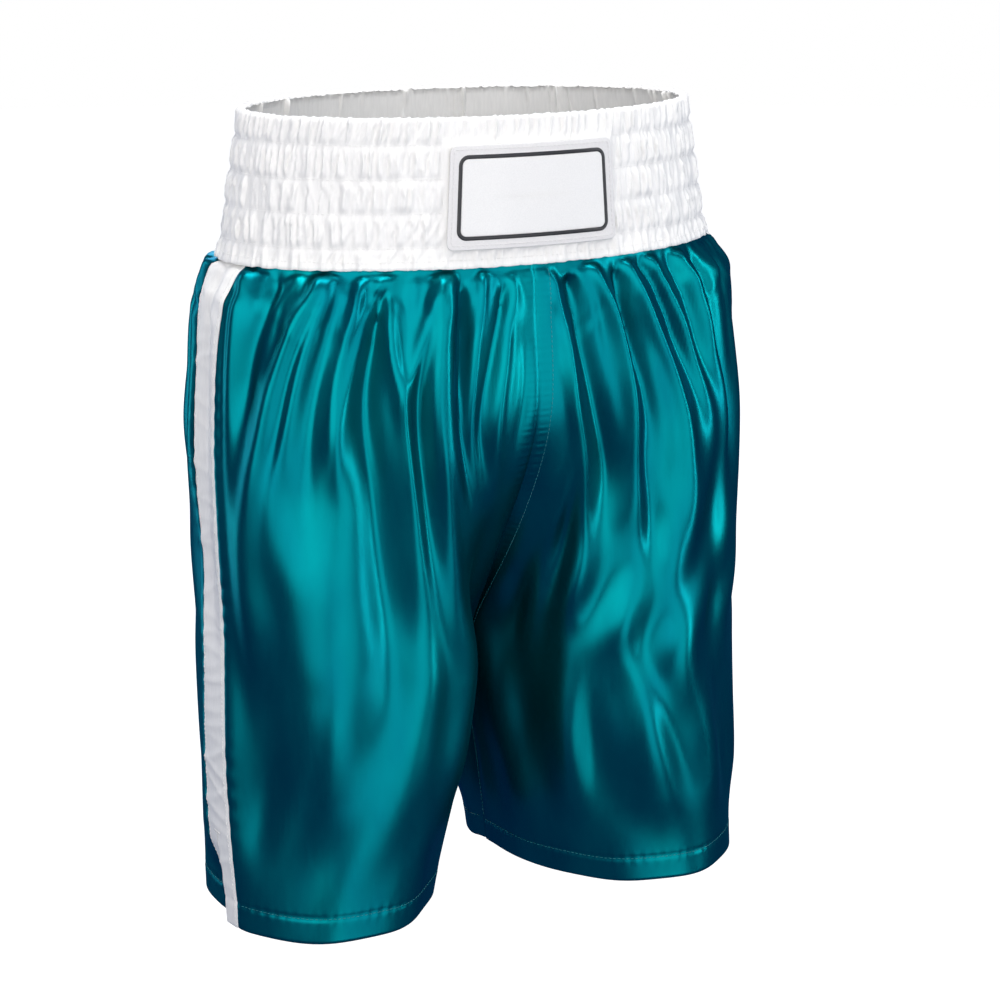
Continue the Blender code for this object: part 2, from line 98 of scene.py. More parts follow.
# The cut of the shorts, as in the frame
RIM_HALF_WIDTH = 0.168
RIM_HALF_DEPTH = 0.105
HIP_LEVEL = 0.225
HIP_HALF_WIDTH = 0.205
HIP_HALF_DEPTH = 0.121
HEM_HALF_WIDTH = 0.2055
HEM_HALF_DEPTH = 0.110
HEM_BACKWARD = 0.013
SQUARENESS = 2.45
RISE_START = 0.190
RISE_SWEEP = 1.4
CROTCH_DEPTH = 0.390
CROTCH_GAP = 0.004
GAP_START = 0.465
LEG_GAP = 0.041
TOE_OUT = math.radians(22)
BAND_THICKNESS = 0.006
SEAM_GAP = 0.0006
SEWN_GAP = 0.00006
SEAM_TUCK = 0.008
TUCK_INSET = 0.0030
TUCK_RELEASE = 0.010
STRIPE_WIDTH = 0.036
STRIPE_FORWARD_TOP = 0.008
STRIPE_FORWARD_HEM = 0.017
VENT_OPENING = 0.007
HEM_DEPTH = 0.018
RISE_STITCH_INSET = 0.010
EDGE_STITCH_INSET = 0.0025
STITCH_ROWS = (0.018, 0.0407, 0.0633, 0.086)
PATCH_WIDTH = 0.125
PATCH_CORNER = 0.005
PATCH_STITCH_INSET = 0.003
OUTLINE_MARGIN = 0.0065
OUTLINE_WIDTH = 0.0028
OUTLINE_CORNER = 0.007

# How finely the cloth is divided
DENSE = 1600
PANEL_ROWS = 236
PANEL_COLUMNS = 132
STRIPE_COLUMNS = 26
BAND_COLUMNS = 1160

ELASTIC = 0.0010
DEEPEST_CRINKLE = 0.0007
CRINKLE_INSET = 0.0014
SIDES = {"right": -1.0, "left": 1.0}
MM = 0.001

# The hang of the cloth: how far a leg narrows inside, passes of smoothing, and heights of waves and grooves
TAPER = {"right": 0.015, "left": 0.0075}
TAPER_REACH = 0.165
EASING_PASSES = 110
CRISP_PASSES = 3
SOFT_PASSES = 16
SHORT_PLEATS = 0.9
HANGING_REST = 0.0009
BROAD_WAVES = 7
BROAD_WAVE_HEIGHT = 0.0010
GATHER_WRINKLES = 170
GATHER_WRINKLE_HEIGHT = 0.0012
CROSSING_WRINKLE_HEIGHT = 0.0008
DRAWN_IN_HIP = 0.004
DRAWN_IN_LOW = 0.007
VENT_LIP_INSET = 0.009
PUFF_ALL_ROUND = 0.0030
PUFF_AT_SIDE = 0.0095
RISE_GROOVE = 0.0008
RISE_GROOVE_WIDTH = 0.0013
STRIPE_GROOVE = 0.0003
STRIPE_GROOVE_WIDTH = 0.0012
HEM_TURN = 0.0015

# Bartack
BARTACK_STEPS = 40
BARTACK_WIDTH = 0.009
BARTACK_RISE = 0.0011
BARTACK_STITCH = 0.0012
BARTACK_THREAD = 0.00026

# How finely the patch is divided
CORNER_STEPS = 8
LONG_SIDE_STEPS = 26
SHORT_SIDE_STEPS = 14
LOOP_STEP = 0.0025

# Stage
STAGE_REACH = 6.0
NEUTRAL = (1.0, 1.0, 1.0)
KEY_WARMTH = (1.0, 0.975, 0.945)

# Each softbox: its name, place, size, the setting that holds its power, and its colour
SOFTBOXES = (
    ("key_softbox", (-1.87, -1.81, 0.5), (3.8, 3.2), "key_power", KEY_WARMTH),
    ("fill_softbox", (0.5, -2.6, -0.35), (2.0, 3.8), "fill_power", NEUTRAL),
    ("right_softbox", (1.7, -1.2, 0.2), (0.5, 2.8), "right_power", NEUTRAL),
    ("side_softbox", (-1.35, 1.6, 0.1), (0.5, 2.6), "side_power", NEUTRAL),
    ("back_softbox", (0.6, 2.0, 0.7), (1.2, 1.2), "back_power", NEUTRAL),
    ("top_softbox", (0.0, -0.2, 1.7), (1.2, 1.2), "top_power", NEUTRAL),
)


# ---------------------------------------------------------------- settings


class WaistbandSettings(PropertyGroup):
    """The shirred waistband."""

    spacing: FloatProperty(
        name="Crinkle spacing", description="Distance from one crinkle to the next",
        default=0.0060, unit="LENGTH",
    )
    height: FloatProperty(
        name="Crinkle height", description="How far the crinkles stand out between two stitch rows",
        default=0.0030, unit="LENGTH",
    )
    pinch: FloatProperty(
        name="Pinch", description="How far a stitch row draws the cloth in", default=0.0006, unit="LENGTH"
    )
    ruffle: FloatProperty(
        name="Ruffle", description="How far the rim waves up and down", default=0.0010, unit="LENGTH"
    )
    cloth: FloatProperty(name="Cloth", description="Thickness of its satin", default=0.0009, unit="LENGTH")
    seed: IntProperty(name="Seed", description="Picks the places of the crinkles", default=11)


class LegSettings(PropertyGroup):
    """The four satin panels of the legs."""

    cloth: FloatProperty(name="Cloth", description="Thickness of the satin", default=0.0007, unit="LENGTH")
    pleat: FloatProperty(
        name="Pleat", description="Distance from one gathered pleat to the next", default=0.0088, unit="LENGTH"
    )
    fold: FloatProperty(
        name="Fold depth", description="Depth of the long folds, as a share of their full depth", default=1.35
    )
    hem_step: FloatProperty(
        name="Hem step", description="How far the turned-up hem stands out", default=0.0003, unit="LENGTH"
    )
    pucker: FloatProperty(
        name="Pucker", description="Depth of the puckers along a stitched seam", default=0.00035, unit="LENGTH"
    )
    seed: IntProperty(name="Seed", description="Picks the places of the folds", default=5)


class StitchSettings(PropertyGroup):
    """All rows of stitches."""

    length: FloatProperty(name="Stitch", description="Length of one stitch", default=0.0026, unit="LENGTH")
    gap: FloatProperty(name="Gap", description="Cloth between two stitches", default=0.0007, unit="LENGTH")
    radius: FloatProperty(
        name="Thread radius", description="Half the thread's width", default=0.00022, unit="LENGTH"
    )


class PatchSettings(PropertyGroup):
    """The rubber patch on the front of the waistband."""

    lift: FloatProperty(
        name="Lift", description="Its underside above the waistband's plain surface",
        default=0.0010, unit="LENGTH",
    )
    thickness: FloatProperty(name="Thickness", description="Of the base", default=0.0017, unit="LENGTH")
    rounding: FloatProperty(name="Rounding", description="Radius of its edges", default=0.0007, unit="LENGTH")
    relief: FloatProperty(name="Relief", description="Height of the outline", default=0.0007, unit="LENGTH")


class ColourSettings(PropertyGroup):
    """Colours of the cloth, thread and patch, as linear values."""

    satin: FloatVectorProperty(
        name="Panels", description="Satin of the legs", default=(0.0, 0.232, 0.247),
        subtype="COLOR", min=0, max=1,
    )
    satin_shade: FloatVectorProperty(
        name="Panels, shaded", description="Satin of the legs where the yarn turns away",
        default=(0.0, 0.160, 0.200), subtype="COLOR", min=0, max=1,
    )
    white: FloatVectorProperty(
        name="White satin", description="Waistband and stripes", default=(0.835, 0.815, 0.77),
        subtype="COLOR", min=0, max=1,
    )
    rubber: FloatVectorProperty(
        name="Patch", description="Base of the patch", default=(0.71, 0.69, 0.665),
        subtype="COLOR", min=0, max=1,
    )
    plate: FloatVectorProperty(
        name="Patch face", description="Blank middle of the patch", default=(0.775, 0.760, 0.725),
        subtype="COLOR", min=0, max=1,
    )
    outline: FloatVectorProperty(
        name="Outline", description="Line round the patch", default=(0.012, 0.012, 0.013),
        subtype="COLOR", min=0, max=1,
    )
    teal_thread: FloatVectorProperty(
        name="Leg thread", description="Thread of the panels", default=(0.0, 0.20, 0.23),
        subtype="COLOR", min=0, max=1,
    )


class StageSettings(PropertyGroup):
    """Camera, lights and floor."""

    azimuth: FloatProperty(
        name="Azimuth", description="Camera's direction round the shorts", default=math.radians(-25.79),
        subtype="ANGLE",
    )
    pitch: FloatProperty(
        name="Pitch", description="Camera's tilt below the horizon", default=math.radians(-14.9),
        subtype="ANGLE",
    )
    eye: FloatVectorProperty(
        name="Eye", description="Camera's place", default=(-0.7632, -1.6321, 0.1877),
        subtype="XYZ", unit="LENGTH",
    )
    lens: FloatProperty(name="Lens", description="Focal length in millimetres", default=91.5)
    floor_drop: FloatProperty(
        name="Floor", description="Floor below the hems", default=0.06, unit="LENGTH"
    )
    floor_glow: FloatProperty(name="Floor glow", description="Light that the floor gives", default=1.0)
    room_colour: FloatVectorProperty(
        name="Room colour", description="Light from all round", default=(0.14, 0.37, 1.0),
        subtype="COLOR", min=0, max=1,
    )
    room_light: FloatProperty(
        name="Room light", description="Strength of the light from all round", default=0.17
    )
    key_power: FloatProperty(name="Key light", description="Power of the front left softbox", default=82.0)
    right_power: FloatProperty(name="Right light", description="Power of the right softbox", default=22.0)
    fill_power: FloatProperty(name="Fill light", description="Power of the front softbox", default=36.0)
    side_power: FloatProperty(
        name="Side light", description="Power of the softbox behind on the left", default=12.0
    )
    back_power: FloatProperty(name="Back light", description="Power of the softbox behind", default=22.0)
    top_power: FloatProperty(name="Top light", description="Power of the softbox above", default=30.0)


# ---------------------------------------------------------------- the shape of the shorts


def smooth(x):
    """0 below 0, 1 above 1, and a soft step between."""
    x = np.clip(x, 0.0, 1.0)
    return x * x * (3 - 2 * x)


def bump(x):
    """1 at 0, falling softly to nothing within about 2."""
    return np.exp(-x * x)


def along(depth, stations):
    """The value at a depth, from (depth, value) stations joined by soft steps."""
    for (d0, v0), (d1, v1) in zip(stations, stations[1:]):
        if depth <= d1:
            share = np.clip((depth - d0) / (d1 - d0), 0.0, 1.0)
            return v0 + (v1 - v0) * (share + smooth(share)) / 2
    return stations[-1][1]


def half_width(depth):
    """Half the shorts' width at a depth, before any fold."""
    if depth < BAND_HEIGHT:
        return RIM_HALF_WIDTH + (BASE_HALF_WIDTH - RIM_HALF_WIDTH) * depth / BAND_HEIGHT
    stations = (BAND_HEIGHT, BASE_HALF_WIDTH), (HIP_LEVEL, HIP_HALF_WIDTH), (OUTSEAM, HEM_HALF_WIDTH)
    return along(depth, stations)


def half_depth(depth):
    """Half the shorts' depth from front to back, before any fold."""
    if depth < BAND_HEIGHT:
        return RIM_HALF_DEPTH + (BASE_HALF_DEPTH - RIM_HALF_DEPTH) * depth / BAND_HEIGHT
    stations = (BAND_HEIGHT, BASE_HALF_DEPTH), (HIP_LEVEL, HIP_HALF_DEPTH), (OUTSEAM, HEM_HALF_DEPTH)
    return along(depth, stations)


def backward(depth):
    """How far the middle of the cloth hangs behind the waist opening's centre."""
    return along(depth, [(BAND_HEIGHT, 0.0), (OUTSEAM, HEM_BACKWARD)])


def spread_evenly(points, count):
    """count points at equal steps of length along a polyline."""
    steps = np.linalg.norm(np.diff(points, axis=0), axis=1)
    length = np.concatenate([[0.0], np.cumsum(steps)])
    wanted = np.linspace(0, length[-1], count)
    return np.stack([np.interp(wanted, length, points[:, axis]) for axis in range(2)], axis=1)


def half_body(depth):
    """One side's outline of the hips from centre front over the side to centre back."""
    exponent = along(depth, [(BAND_HEIGHT, 2.0), (HIP_LEVEL, SQUARENESS)])
    turn = np.linspace(0, math.pi, 2 * DENSE + 1)
    across = np.sin(turn) ** (2 / exponent)
    forward = np.sign(np.cos(turn)) * np.abs(np.cos(turn)) ** (2 / exponent)
    outline = np.stack([half_width(depth) * across, backward(depth) - half_depth(depth) * forward], axis=1)
    front, back = outline[: DENSE + 1], outline[DENSE:]
    return np.concatenate([spread_evenly(front, DENSE + 1), spread_evenly(back, DENSE + 1)[1:]])


def leg_loop(depth):
    """One leg's outline from its inner point round the front to the side and round the back again."""
    below = np.clip((depth - GAP_START) / (OUTSEAM - GAP_START), 0, 1)
    inner = (CROTCH_GAP + (LEG_GAP - CROTCH_GAP) * below) / 2
    outer = half_width(depth)
    wide, deep = (outer - inner) / 2, half_depth(depth)
    toe = TOE_OUT * smooth((depth - RISE_START) / (OUTSEAM - RISE_START))
    cos2, sin2 = math.cos(toe) ** 2, math.sin(toe) ** 2
    across = math.sqrt((wide**2 * cos2 - deep**2 * sin2) / math.cos(2 * toe))
    ahead = math.sqrt((deep**2 * cos2 - wide**2 * sin2) / math.cos(2 * toe))
    turn = np.linspace(0, 2 * math.pi, 4 * DENSE + 1)[:-1]
    x, y = across * np.cos(turn), ahead * np.sin(turn)
    middle = (outer + inner) / 2
    loop = np.stack(
        [
            middle + x * math.cos(toe) - y * math.sin(toe),
            backward(depth) + x * math.sin(toe) + y * math.cos(toe),
        ],
        axis=1,
    )
    loop = np.roll(loop, -int(np.argmin(loop[:, 0])), axis=0)
    side = int(np.argmax(loop[:, 0]))
    first, second = loop[: side + 1], np.concatenate([loop[side:], loop[:1]])
    return np.concatenate([spread_evenly(first, DENSE + 1), spread_evenly(second, DENSE + 1)[1:]])


def rise_share(depth):
    """How far the centre seam has come from the belly to the crotch."""
    return np.clip((depth - RISE_START) / (CROTCH_DEPTH - RISE_START), 0.0, 1.0) ** RISE_SWEEP


def body_row(turns, depth):
    """Points on the outside of one half of the shorts, at one depth. x is counted outward."""
    at = turns * 2 * DENSE
    steps = np.arange(2 * DENSE + 1)
    body, leg = half_body(depth), leg_loop(depth)
    on_body = np.stack([np.interp(at, steps, body[:, axis]) for axis in range(2)], axis=-1)
    on_leg = np.stack([np.interp(at, steps, leg[:, axis]) for axis in range(2)], axis=-1)
    from_centre = smooth(2.6 * np.minimum(turns, 1 - turns))
    slow = smooth((depth - RISE_START + 0.02) / (CROTCH_DEPTH + 0.10 - RISE_START))
    to_leg = (rise_share(depth) * (1 - from_centre) + slow * from_centre)[..., None]
    place = on_body + (on_leg - on_body) * to_leg
    x = np.maximum(place[..., 0], SEWN_GAP / 2)
    return np.stack([x, place[..., 1], np.full_like(x, -depth)], axis=-1)


def tucked(points, depth):
    """Moves points near the top of a panel inward, to fit inside the bottom of the waistband."""
    out = smooth((depth - BAND_HEIGHT - SEAM_GAP) / TUCK_RELEASE)
    radial = points[:, :2] - np.array([0.0, backward(depth)])
    size = np.linalg.norm(radial, axis=1, keepdims=True)
    moved = points.copy()
    moved[:, :2] -= radial / size * TUCK_INSET * (1 - out)
    return moved


# ---------------------------------------------------------------- folds

# Each fold is its height (negative for a valley), its width at the top and at the bottom, all in
# millimetres, and the (turn, depth in millimetres) points that it runs through.
RIGHT_FRONT_FOLDS = (
    (6.0, 6.0, 13.0, ((0.314, 104), (0.348, 157), (0.370, 214), (0.396, 280), (0.405, 380))),
    (4.6, 4.0, 8.0, ((0.296, 104), (0.322, 154), (0.338, 205), (0.358, 250), (0.368, 320))),
    (-4.2, 3.6, 7.0, ((0.306, 112), (0.335, 160), (0.352, 214), (0.374, 280))),
    (4.8, 3.6, 6.0, ((0.254, 110), (0.270, 150), (0.278, 185), (0.282, 240))),
    (4.8, 3.6, 6.0, ((0.229, 104), (0.248, 139), (0.263, 178), (0.276, 240))),
    (-3.6, 3.0, 4.5, ((0.243, 112), (0.262, 150), (0.274, 200))),
    (-11.0, 8.0, 19.0, ((0.226, 112), (0.240, 170), (0.232, 240), (0.236, 320), (0.256, 470))),
    (-4.5, 5.0, 12.0, ((0.290, 120), (0.306, 180), (0.318, 250), (0.330, 370))),
    (6.0, 3.8, 8.0, (
        (0.219, 112), (0.212, 150), (0.196, 178), (0.187, 210), (0.184, 250), (0.190, 320), (0.205, 420),
    )),
    (4.2, 3.2, 4.5, ((0.153, 112), (0.170, 148), (0.189, 190))),
    (6.5, 5.0, 10.0, ((0.143, 104), (0.148, 181), (0.142, 237), (0.148, 300), (0.165, 410))),
    (-7.5, 5.0, 9.5, ((0.170, 140), (0.168, 200), (0.168, 265), (0.182, 365))),
    (4.6, 3.6, 7.0, ((0.128, 104), (0.131, 169), (0.122, 225), (0.104, 290))),
    (-7.0, 3.6, 7.5, ((0.114, 110), (0.112, 187), (0.102, 275))),
    (-5.5, 3.6, 7.0, ((0.047, 112), (0.068, 160), (0.082, 205), (0.074, 262))),
    (4.4, 3.4, 6.0, ((0.034, 104), (0.050, 150), (0.062, 200), (0.060, 262))),
    (4.0, 3.4, 5.5, ((0.080, 104), (0.097, 160), (0.098, 210), (0.086, 265))),
    (-3.0, 2.8, 4.5, ((0.022, 130), (0.018, 180), (0.030, 232))),
    (4.0, 4.5, 12.0, ((0.425, 104), (0.430, 190), (0.436, 330))),
    (-6.0, 5.0, 9.0, ((0.436, 112), (0.434, 250), (0.426, 420), (0.420, 540))),
    (-4.0, 4.0, 9.0, ((0.374, 106), (0.392, 150), (0.404, 215))),
    (6.0, 16.0, 27.0, ((0.330, 230), (0.332, 340), (0.330, 500))),
    (6.0, 14.0, 24.0, ((0.135, 330), (0.150, 420), (0.170, 530))),
    (-6.0, 10.0, 20.0, ((0.060, 270), (0.075, 350), (0.085, 480))),
    (-4.5, 9.0, 16.0, ((0.390, 330), (0.400, 430), (0.405, 540))),
)
LEFT_FRONT_FOLDS = (
    (5.5, 4.0, 8.0, ((0.026, 104), (0.042, 154), (0.054, 200), (0.080, 240), (0.108, 290), (0.150, 390))),
    (-8.0, 6.5, 10.0, ((0.056, 110), (0.074, 165), (0.096, 214), (0.126, 256), (0.156, 318))),
    (5.5, 3.4, 8.0, ((0.060, 226), (0.068, 262), (0.078, 309), (0.090, 390))),
    (5.5, 3.4, 8.0, ((0.070, 226), (0.092, 262), (0.117, 309), (0.140, 396))),
    (-7.5, 5.0, 13.0, ((0.067, 236), (0.080, 270), (0.097, 315), (0.114, 440))),
    (6.5, 5.0, 10.0, ((0.112, 300), (0.150, 380), (0.158, 430), (0.160, 550))),
    (5.0, 5.0, 10.0, ((0.138, 305), (0.163, 360), (0.181, 411), (0.196, 445), (0.220, 510))),
    (-5.0, 5.0, 9.0, ((0.150, 330), (0.172, 395), (0.182, 440), (0.195, 520))),
    (6.0, 5.5, 12.0, ((0.160, 290), (0.196, 363), (0.228, 415), (0.250, 460), (0.272, 530))),
    (-6.0, 5.5, 11.0, ((0.205, 330), (0.230, 390), (0.262, 440), (0.300, 510))),
    (4.0, 6.5, 13.0, ((0.222, 255), (0.250, 345), (0.281, 405), (0.315, 450), (0.350, 520))),
    (6.5, 4.6, 9.0, ((0.094, 104), (0.122, 145), (0.140, 195), (0.166, 250), (0.200, 310), (0.232, 400))),
    (-7.0, 4.2, 8.0, ((0.136, 106), (0.152, 160), (0.174, 205), (0.196, 260))),
    (6.0, 4.2, 9.0, ((0.156, 104), (0.185, 150), (0.222, 200), (0.252, 260), (0.275, 340))),
    (-7.5, 4.6, 9.0, ((0.150, 190), (0.178, 250), (0.212, 305), (0.240, 380))),
    (-6.5, 4.0, 7.5, ((0.188, 104), (0.216, 135), (0.250, 180), (0.272, 220))),
    (5.0, 4.0, 8.0, ((0.208, 104), (0.240, 150), (0.272, 200), (0.298, 250))),
    (-5.0, 3.6, 8.0, ((0.250, 106), (0.268, 145), (0.290, 200))),
    (5.0, 5.0, 13.0, ((0.275, 104), (0.305, 180), (0.330, 250), (0.350, 370))),
    (-5.5, 5.0, 12.0, ((0.318, 108), (0.345, 190), (0.370, 300))),
    (6.0, 18.0, 26.0, ((0.262, 300), (0.275, 430), (0.285, 560))),
    (-9.0, 12.0, 22.0, ((0.050, 320), (0.075, 400), (0.100, 500))),
    (-5.0, 9.0, 16.0, ((0.310, 220), (0.335, 360), (0.350, 500))),
    (4.5, 9.0, 16.0, ((0.390, 130), (0.400, 260), (0.400, 420))),
)


def run_of(points, depths):
    """The turn of a fold at each depth: a smooth curve through its points."""
    turns = np.array([turn for turn, _ in points])
    at = np.array([depth for _, depth in points]) * MM
    slopes = np.gradient(turns, at)
    inside = np.clip(depths, at[0], at[-1])
    left = np.clip(np.searchsorted(at, inside, side="right") - 1, 0, len(at) - 2)
    step = at[left + 1] - at[left]
    s = (inside - at[left]) / step
    rise, fall = s * s * (3 - 2 * s), 1 - s * s * (3 - 2 * s)
    start_pull, end_pull = s * (1 - s) ** 2, -s * s * (1 - s)
    pull = step * (start_pull * slopes[left] + end_pull * slopes[left + 1])
    return turns[left] * fall + turns[left + 1] * rise + pull


def crest(x):
    """The section across a fold: a narrow crest with long skirts."""
    return 1 / np.cosh(np.clip(1.25 * x, -40, 40)) ** 1.5


def softened(grid, times):
    """Averages each value with its neighbours, so that no crease is sharper than the cloth can take."""
    for _ in range(times):
        for axis in range(2):
            padded = np.pad(grid, [(1, 1) if axis == a else (0, 0) for a in range(2)], mode="edge")
            ahead, behind = (padded[2:], padded[:-2]) if axis == 0 else (padded[:, 2:], padded[:, :-2])
            grid = (ahead + 2 * grid + behind) / 4
    return grid


def fold_relief(fold, turns, depths, girths):
    """How far one fold lifts the cloth over a grid. turns is a grid, depths and girths its rows."""
    height, top_width, low_width, points = fold
    first, last = points[0][1] * MM, points[-1][1] * MM
    share = np.clip((depths - first) / (last - first), 0, 1)
    fade_in = smooth((depths - first + 0.006) / (0.016 if first < 0.121 else 0.25 * (last - first) + 0.03))
    fade_out = smooth((last + 0.022 - depths) / (0.38 * (last - first) + 0.022))
    width = (top_width + (low_width - top_width) * share) * MM
    across = (turns - run_of(points, depths)[:, None]) * girths[:, None] / width[:, None]
    return height * MM * (fade_in * fade_out)[:, None] * crest(across)


# Each rank of pleat, the shortest first: the least and most length, the depth, and the width at its top
# and its low end, in millimetres.
PLEAT_RANKS = (
    (18, 42, 1.6, 2.4, 3.6),
    (50, 105, 3.2, 3.0, 6.5),
    (120, 210, 6.5, 4.0, 11.0),
    (240, 440, 10.0, 5.5, 19.0),
)


def rank_of(number):
    """The rank of a pleat: every second one is short, every fourth longer, and so on, as gathers merge."""
    rank = 0
    while number % 2 == 0 and rank < len(PLEAT_RANKS) - 1:
        number //= 2
        rank += 1
    return rank


def gathered_pleats(rng, girth, spacing):
    """Valleys at uneven steps all round one half, as (rank, fold)."""
    made, place, number = [], spacing * rng.uniform(0.3, 0.8), 1
    top = BAND_HEIGHT / MM
    while place < girth - spacing / 2:
        rank = rank_of(number)
        shortest, longest, height, top_width, low_width = PLEAT_RANKS[rank]
        size, length = rng.uniform(0.7, 1.25), rng.uniform(shortest, longest)
        start, lean = place / girth, rng.normal(0, 0.004 + 0.009 * rank)
        sway = rng.normal(0, 0.002 + 0.003 * rank)
        run = ((start, top), (start + 0.35 * lean + sway, top + 0.4 * length), (start + lean, top + length))
        made.append((rank, (-height * size, top_width * size, low_width * size, run)))
        place += spacing * rng.uniform(0.65, 1.35)
        number += 1
    return made


class Half:
    """One half of the shorts as cloth: a grid of points over its front panel, stripe and back panel."""

    def __init__(self, side, legs):
        self.side = side
        self.depths = np.linspace(BAND_HEIGHT - SEAM_TUCK, OUTSEAM, PANEL_ROWS)
        self.front = slice(0, PANEL_COLUMNS)
        self.stripe = slice(PANEL_COLUMNS, PANEL_COLUMNS + STRIPE_COLUMNS)
        self.back = slice(PANEL_COLUMNS + STRIPE_COLUMNS, 2 * PANEL_COLUMNS + STRIPE_COLUMNS)
        probe = np.linspace(0, 1, 161)
        rows = [body_row(probe, depth) for depth in self.depths]
        self.girths = np.array([np.linalg.norm(np.diff(row, axis=0), axis=1).sum() for row in rows])
        self.turns = np.array([self.row_turns(depth, girth) for depth, girth in zip(self.depths, self.girths)])
        plain = [tucked(body_row(turns, depth), depth) for turns, depth in zip(self.turns, self.depths)]
        self.plain = self.eased(np.array(plain))
        self.outward = directions(self.plain)
        relief = self.relief(legs)
        self.points = self.plain + self.outward * relief[..., None]
        self.points[..., 0] = np.maximum(self.points[..., 0], SEWN_GAP / 2)
        rise = self.depths < CROTCH_DEPTH
        for edge in (0, -1):
            self.points[rise, edge, 0] = SEWN_GAP / 2
        self.normals = directions(self.points)

    def eased(self, grid):
        """Rounds off the changes of slope between one stretch of the leg and the next, below the seam tuck."""
        free = smooth((self.depths - BAND_HEIGHT - TUCK_RELEASE) / 0.03)[1:-1, None, None]
        for _ in range(EASING_PASSES):
            level = (grid[2:] + grid[:-2]) / 2
            grid[1:-1] += free * 0.5 * (level - grid[1:-1])
        return grid

    def row_turns(self, depth, girth):
        """The turns of a row's points: front panel, stripe with the lips of its vent, back panel."""
        ahead = along(depth, [(BAND_HEIGHT, STRIPE_FORWARD_TOP), (OUTSEAM, STRIPE_FORWARD_HEM)])
        opened = np.clip((depth - (OUTSEAM - VENT_HEIGHT)) / VENT_HEIGHT, 0, 1)
        lip = (SEAM_GAP + (VENT_OPENING - SEAM_GAP) * opened) / 2
        half, columns = STRIPE_WIDTH / 2, STRIPE_COLUMNS // 2
        offsets = np.concatenate([np.linspace(-half, -lip, columns), np.linspace(lip, half, columns)])
        stripe = 0.5 + (offsets - ahead) / girth
        seam = SEWN_GAP / girth
        front = np.linspace(seam / 2, stripe[0] - seam, PANEL_COLUMNS)
        back = np.linspace(stripe[-1] + seam, 1 - seam / 2, PANEL_COLUMNS)
        return np.concatenate([front, stripe, back])

    def relief(self, legs):
        """How far the hanging cloth stands out from the plain shape, everywhere on the grid."""
        rng = np.random.default_rng(legs.seed + (self.side == "left"))
        depths, girths, turns = self.depths, self.girths, self.turns
        girth = girths[0]
        drawn = RIGHT_FRONT_FOLDS if self.side == "right" else LEFT_FRONT_FOLDS
        scale = legs.fold
        front = sum(fold_relief(fold, turns, depths, girths) for fold in drawn) * scale
        hanging, gathered = np.zeros_like(turns), np.zeros_like(turns)
        for rank, fold in gathered_pleats(rng, girth, legs.pleat):
            if rank > 1:
                hanging += fold_relief(fold, turns, depths, girths) * scale + HANGING_REST
            else:
                gathered += fold_relief(fold, turns, depths, girths)
        behind = smooth((turns - 0.40) / 0.08)
        on_stripe = smooth((turns - self.turns[:, self.stripe.start - 3][:, None]) * 60)
        on_stripe = on_stripe * smooth((self.turns[:, self.back.start + 3][:, None] - turns) * 60)
        waves = self.broad_waves(rng) - self.drawn_in()
        total = front + hanging * behind + gathered * SHORT_PLEATS + waves
        total = total * (1 - 0.55 * on_stripe)
        crisp = softened(total + self.puffed() + self.gather_wrinkles(rng), CRISP_PASSES)
        low = smooth((depths - 0.17) / 0.17)[:, None]
        total = crisp * (1 - low) + softened(crisp, SOFT_PASSES) * low
        total = total * smooth((depths - BAND_HEIGHT - 0.0005) / 0.007)[:, None]
        near_centre = np.minimum(turns, 1 - turns) * girths[:, None]
        total = total * smooth((near_centre - 0.001) / 0.016)
        total = total * (1 - 0.65 * smooth((depths - OUTSEAM + 0.07) / 0.06))[:, None]
        total = total - self.turned_in() - self.tapered(near_centre)
        return total + self.seams(legs, near_centre) + self.crossing_wrinkles(rng, on_stripe)

    def broad_waves(self, rng):
        """The slow swell of the loose lower legs."""
        total = np.zeros_like(self.turns)
        below = smooth((self.depths - 0.20) / 0.20)[:, None]
        for _ in range(BROAD_WAVES):
            pitch, phase = rng.uniform(0.055, 0.11), rng.uniform(0, 2 * math.pi)
            lean = rng.uniform(-0.5, 0.5)
            across = self.turns * self.girths[:, None] + lean * self.depths[:, None]
            total += BROAD_WAVE_HEIGHT * np.cos(2 * math.pi * across / pitch + phase)
        return total * below

    def drawn_in(self):
        """How far the cloth behind the stripe hangs inside the plain shape, more towards the hem."""
        low = smooth((self.depths - 0.22) / 0.12)[:, None]
        behind = smooth((self.turns - 0.44) / 0.10) * smooth((0.86 - self.turns) / 0.16)
        hip = smooth((self.depths - 0.13) / 0.08)[:, None]
        return behind * (DRAWN_IN_HIP * hip + DRAWN_IN_LOW * low)

    def tapered(self, near_centre):
        """How far the inner side of a leg hangs inside the plain shape, so that the hems stand apart."""
        low = smooth((self.depths - 0.385) / 0.12)[:, None]
        return TAPER[self.side] * low * (1 - smooth(near_centre / TAPER_REACH))

    def gather_wrinkles(self, rng):
        """Short slanting wrinkles where the gathers leave the waistband."""
        rows = self.depths < BAND_HEIGHT + 0.075
        depths, across = self.depths[rows, None], self.turns[rows] * self.girths[rows, None]
        total = np.zeros_like(self.turns)
        for _ in range(GATHER_WRINKLES):
            place = rng.uniform(0, self.girths[0])
            depth = BAND_HEIGHT + 0.004 + 0.040 * rng.uniform() ** 1.6
            lean = rng.uniform(-0.9, 0.9)
            long, wide = rng.uniform(0.006, 0.016), rng.uniform(0.0016, 0.0032)
            down, over = depths - depth, across - place
            run = down * math.cos(lean) + over * math.sin(lean)
            off = over * math.cos(lean) - down * math.sin(lean)
            total[rows] += rng.choice((-1, 1)) * GATHER_WRINKLE_HEIGHT * bump(run / long) * bump(off / wide)
        return total

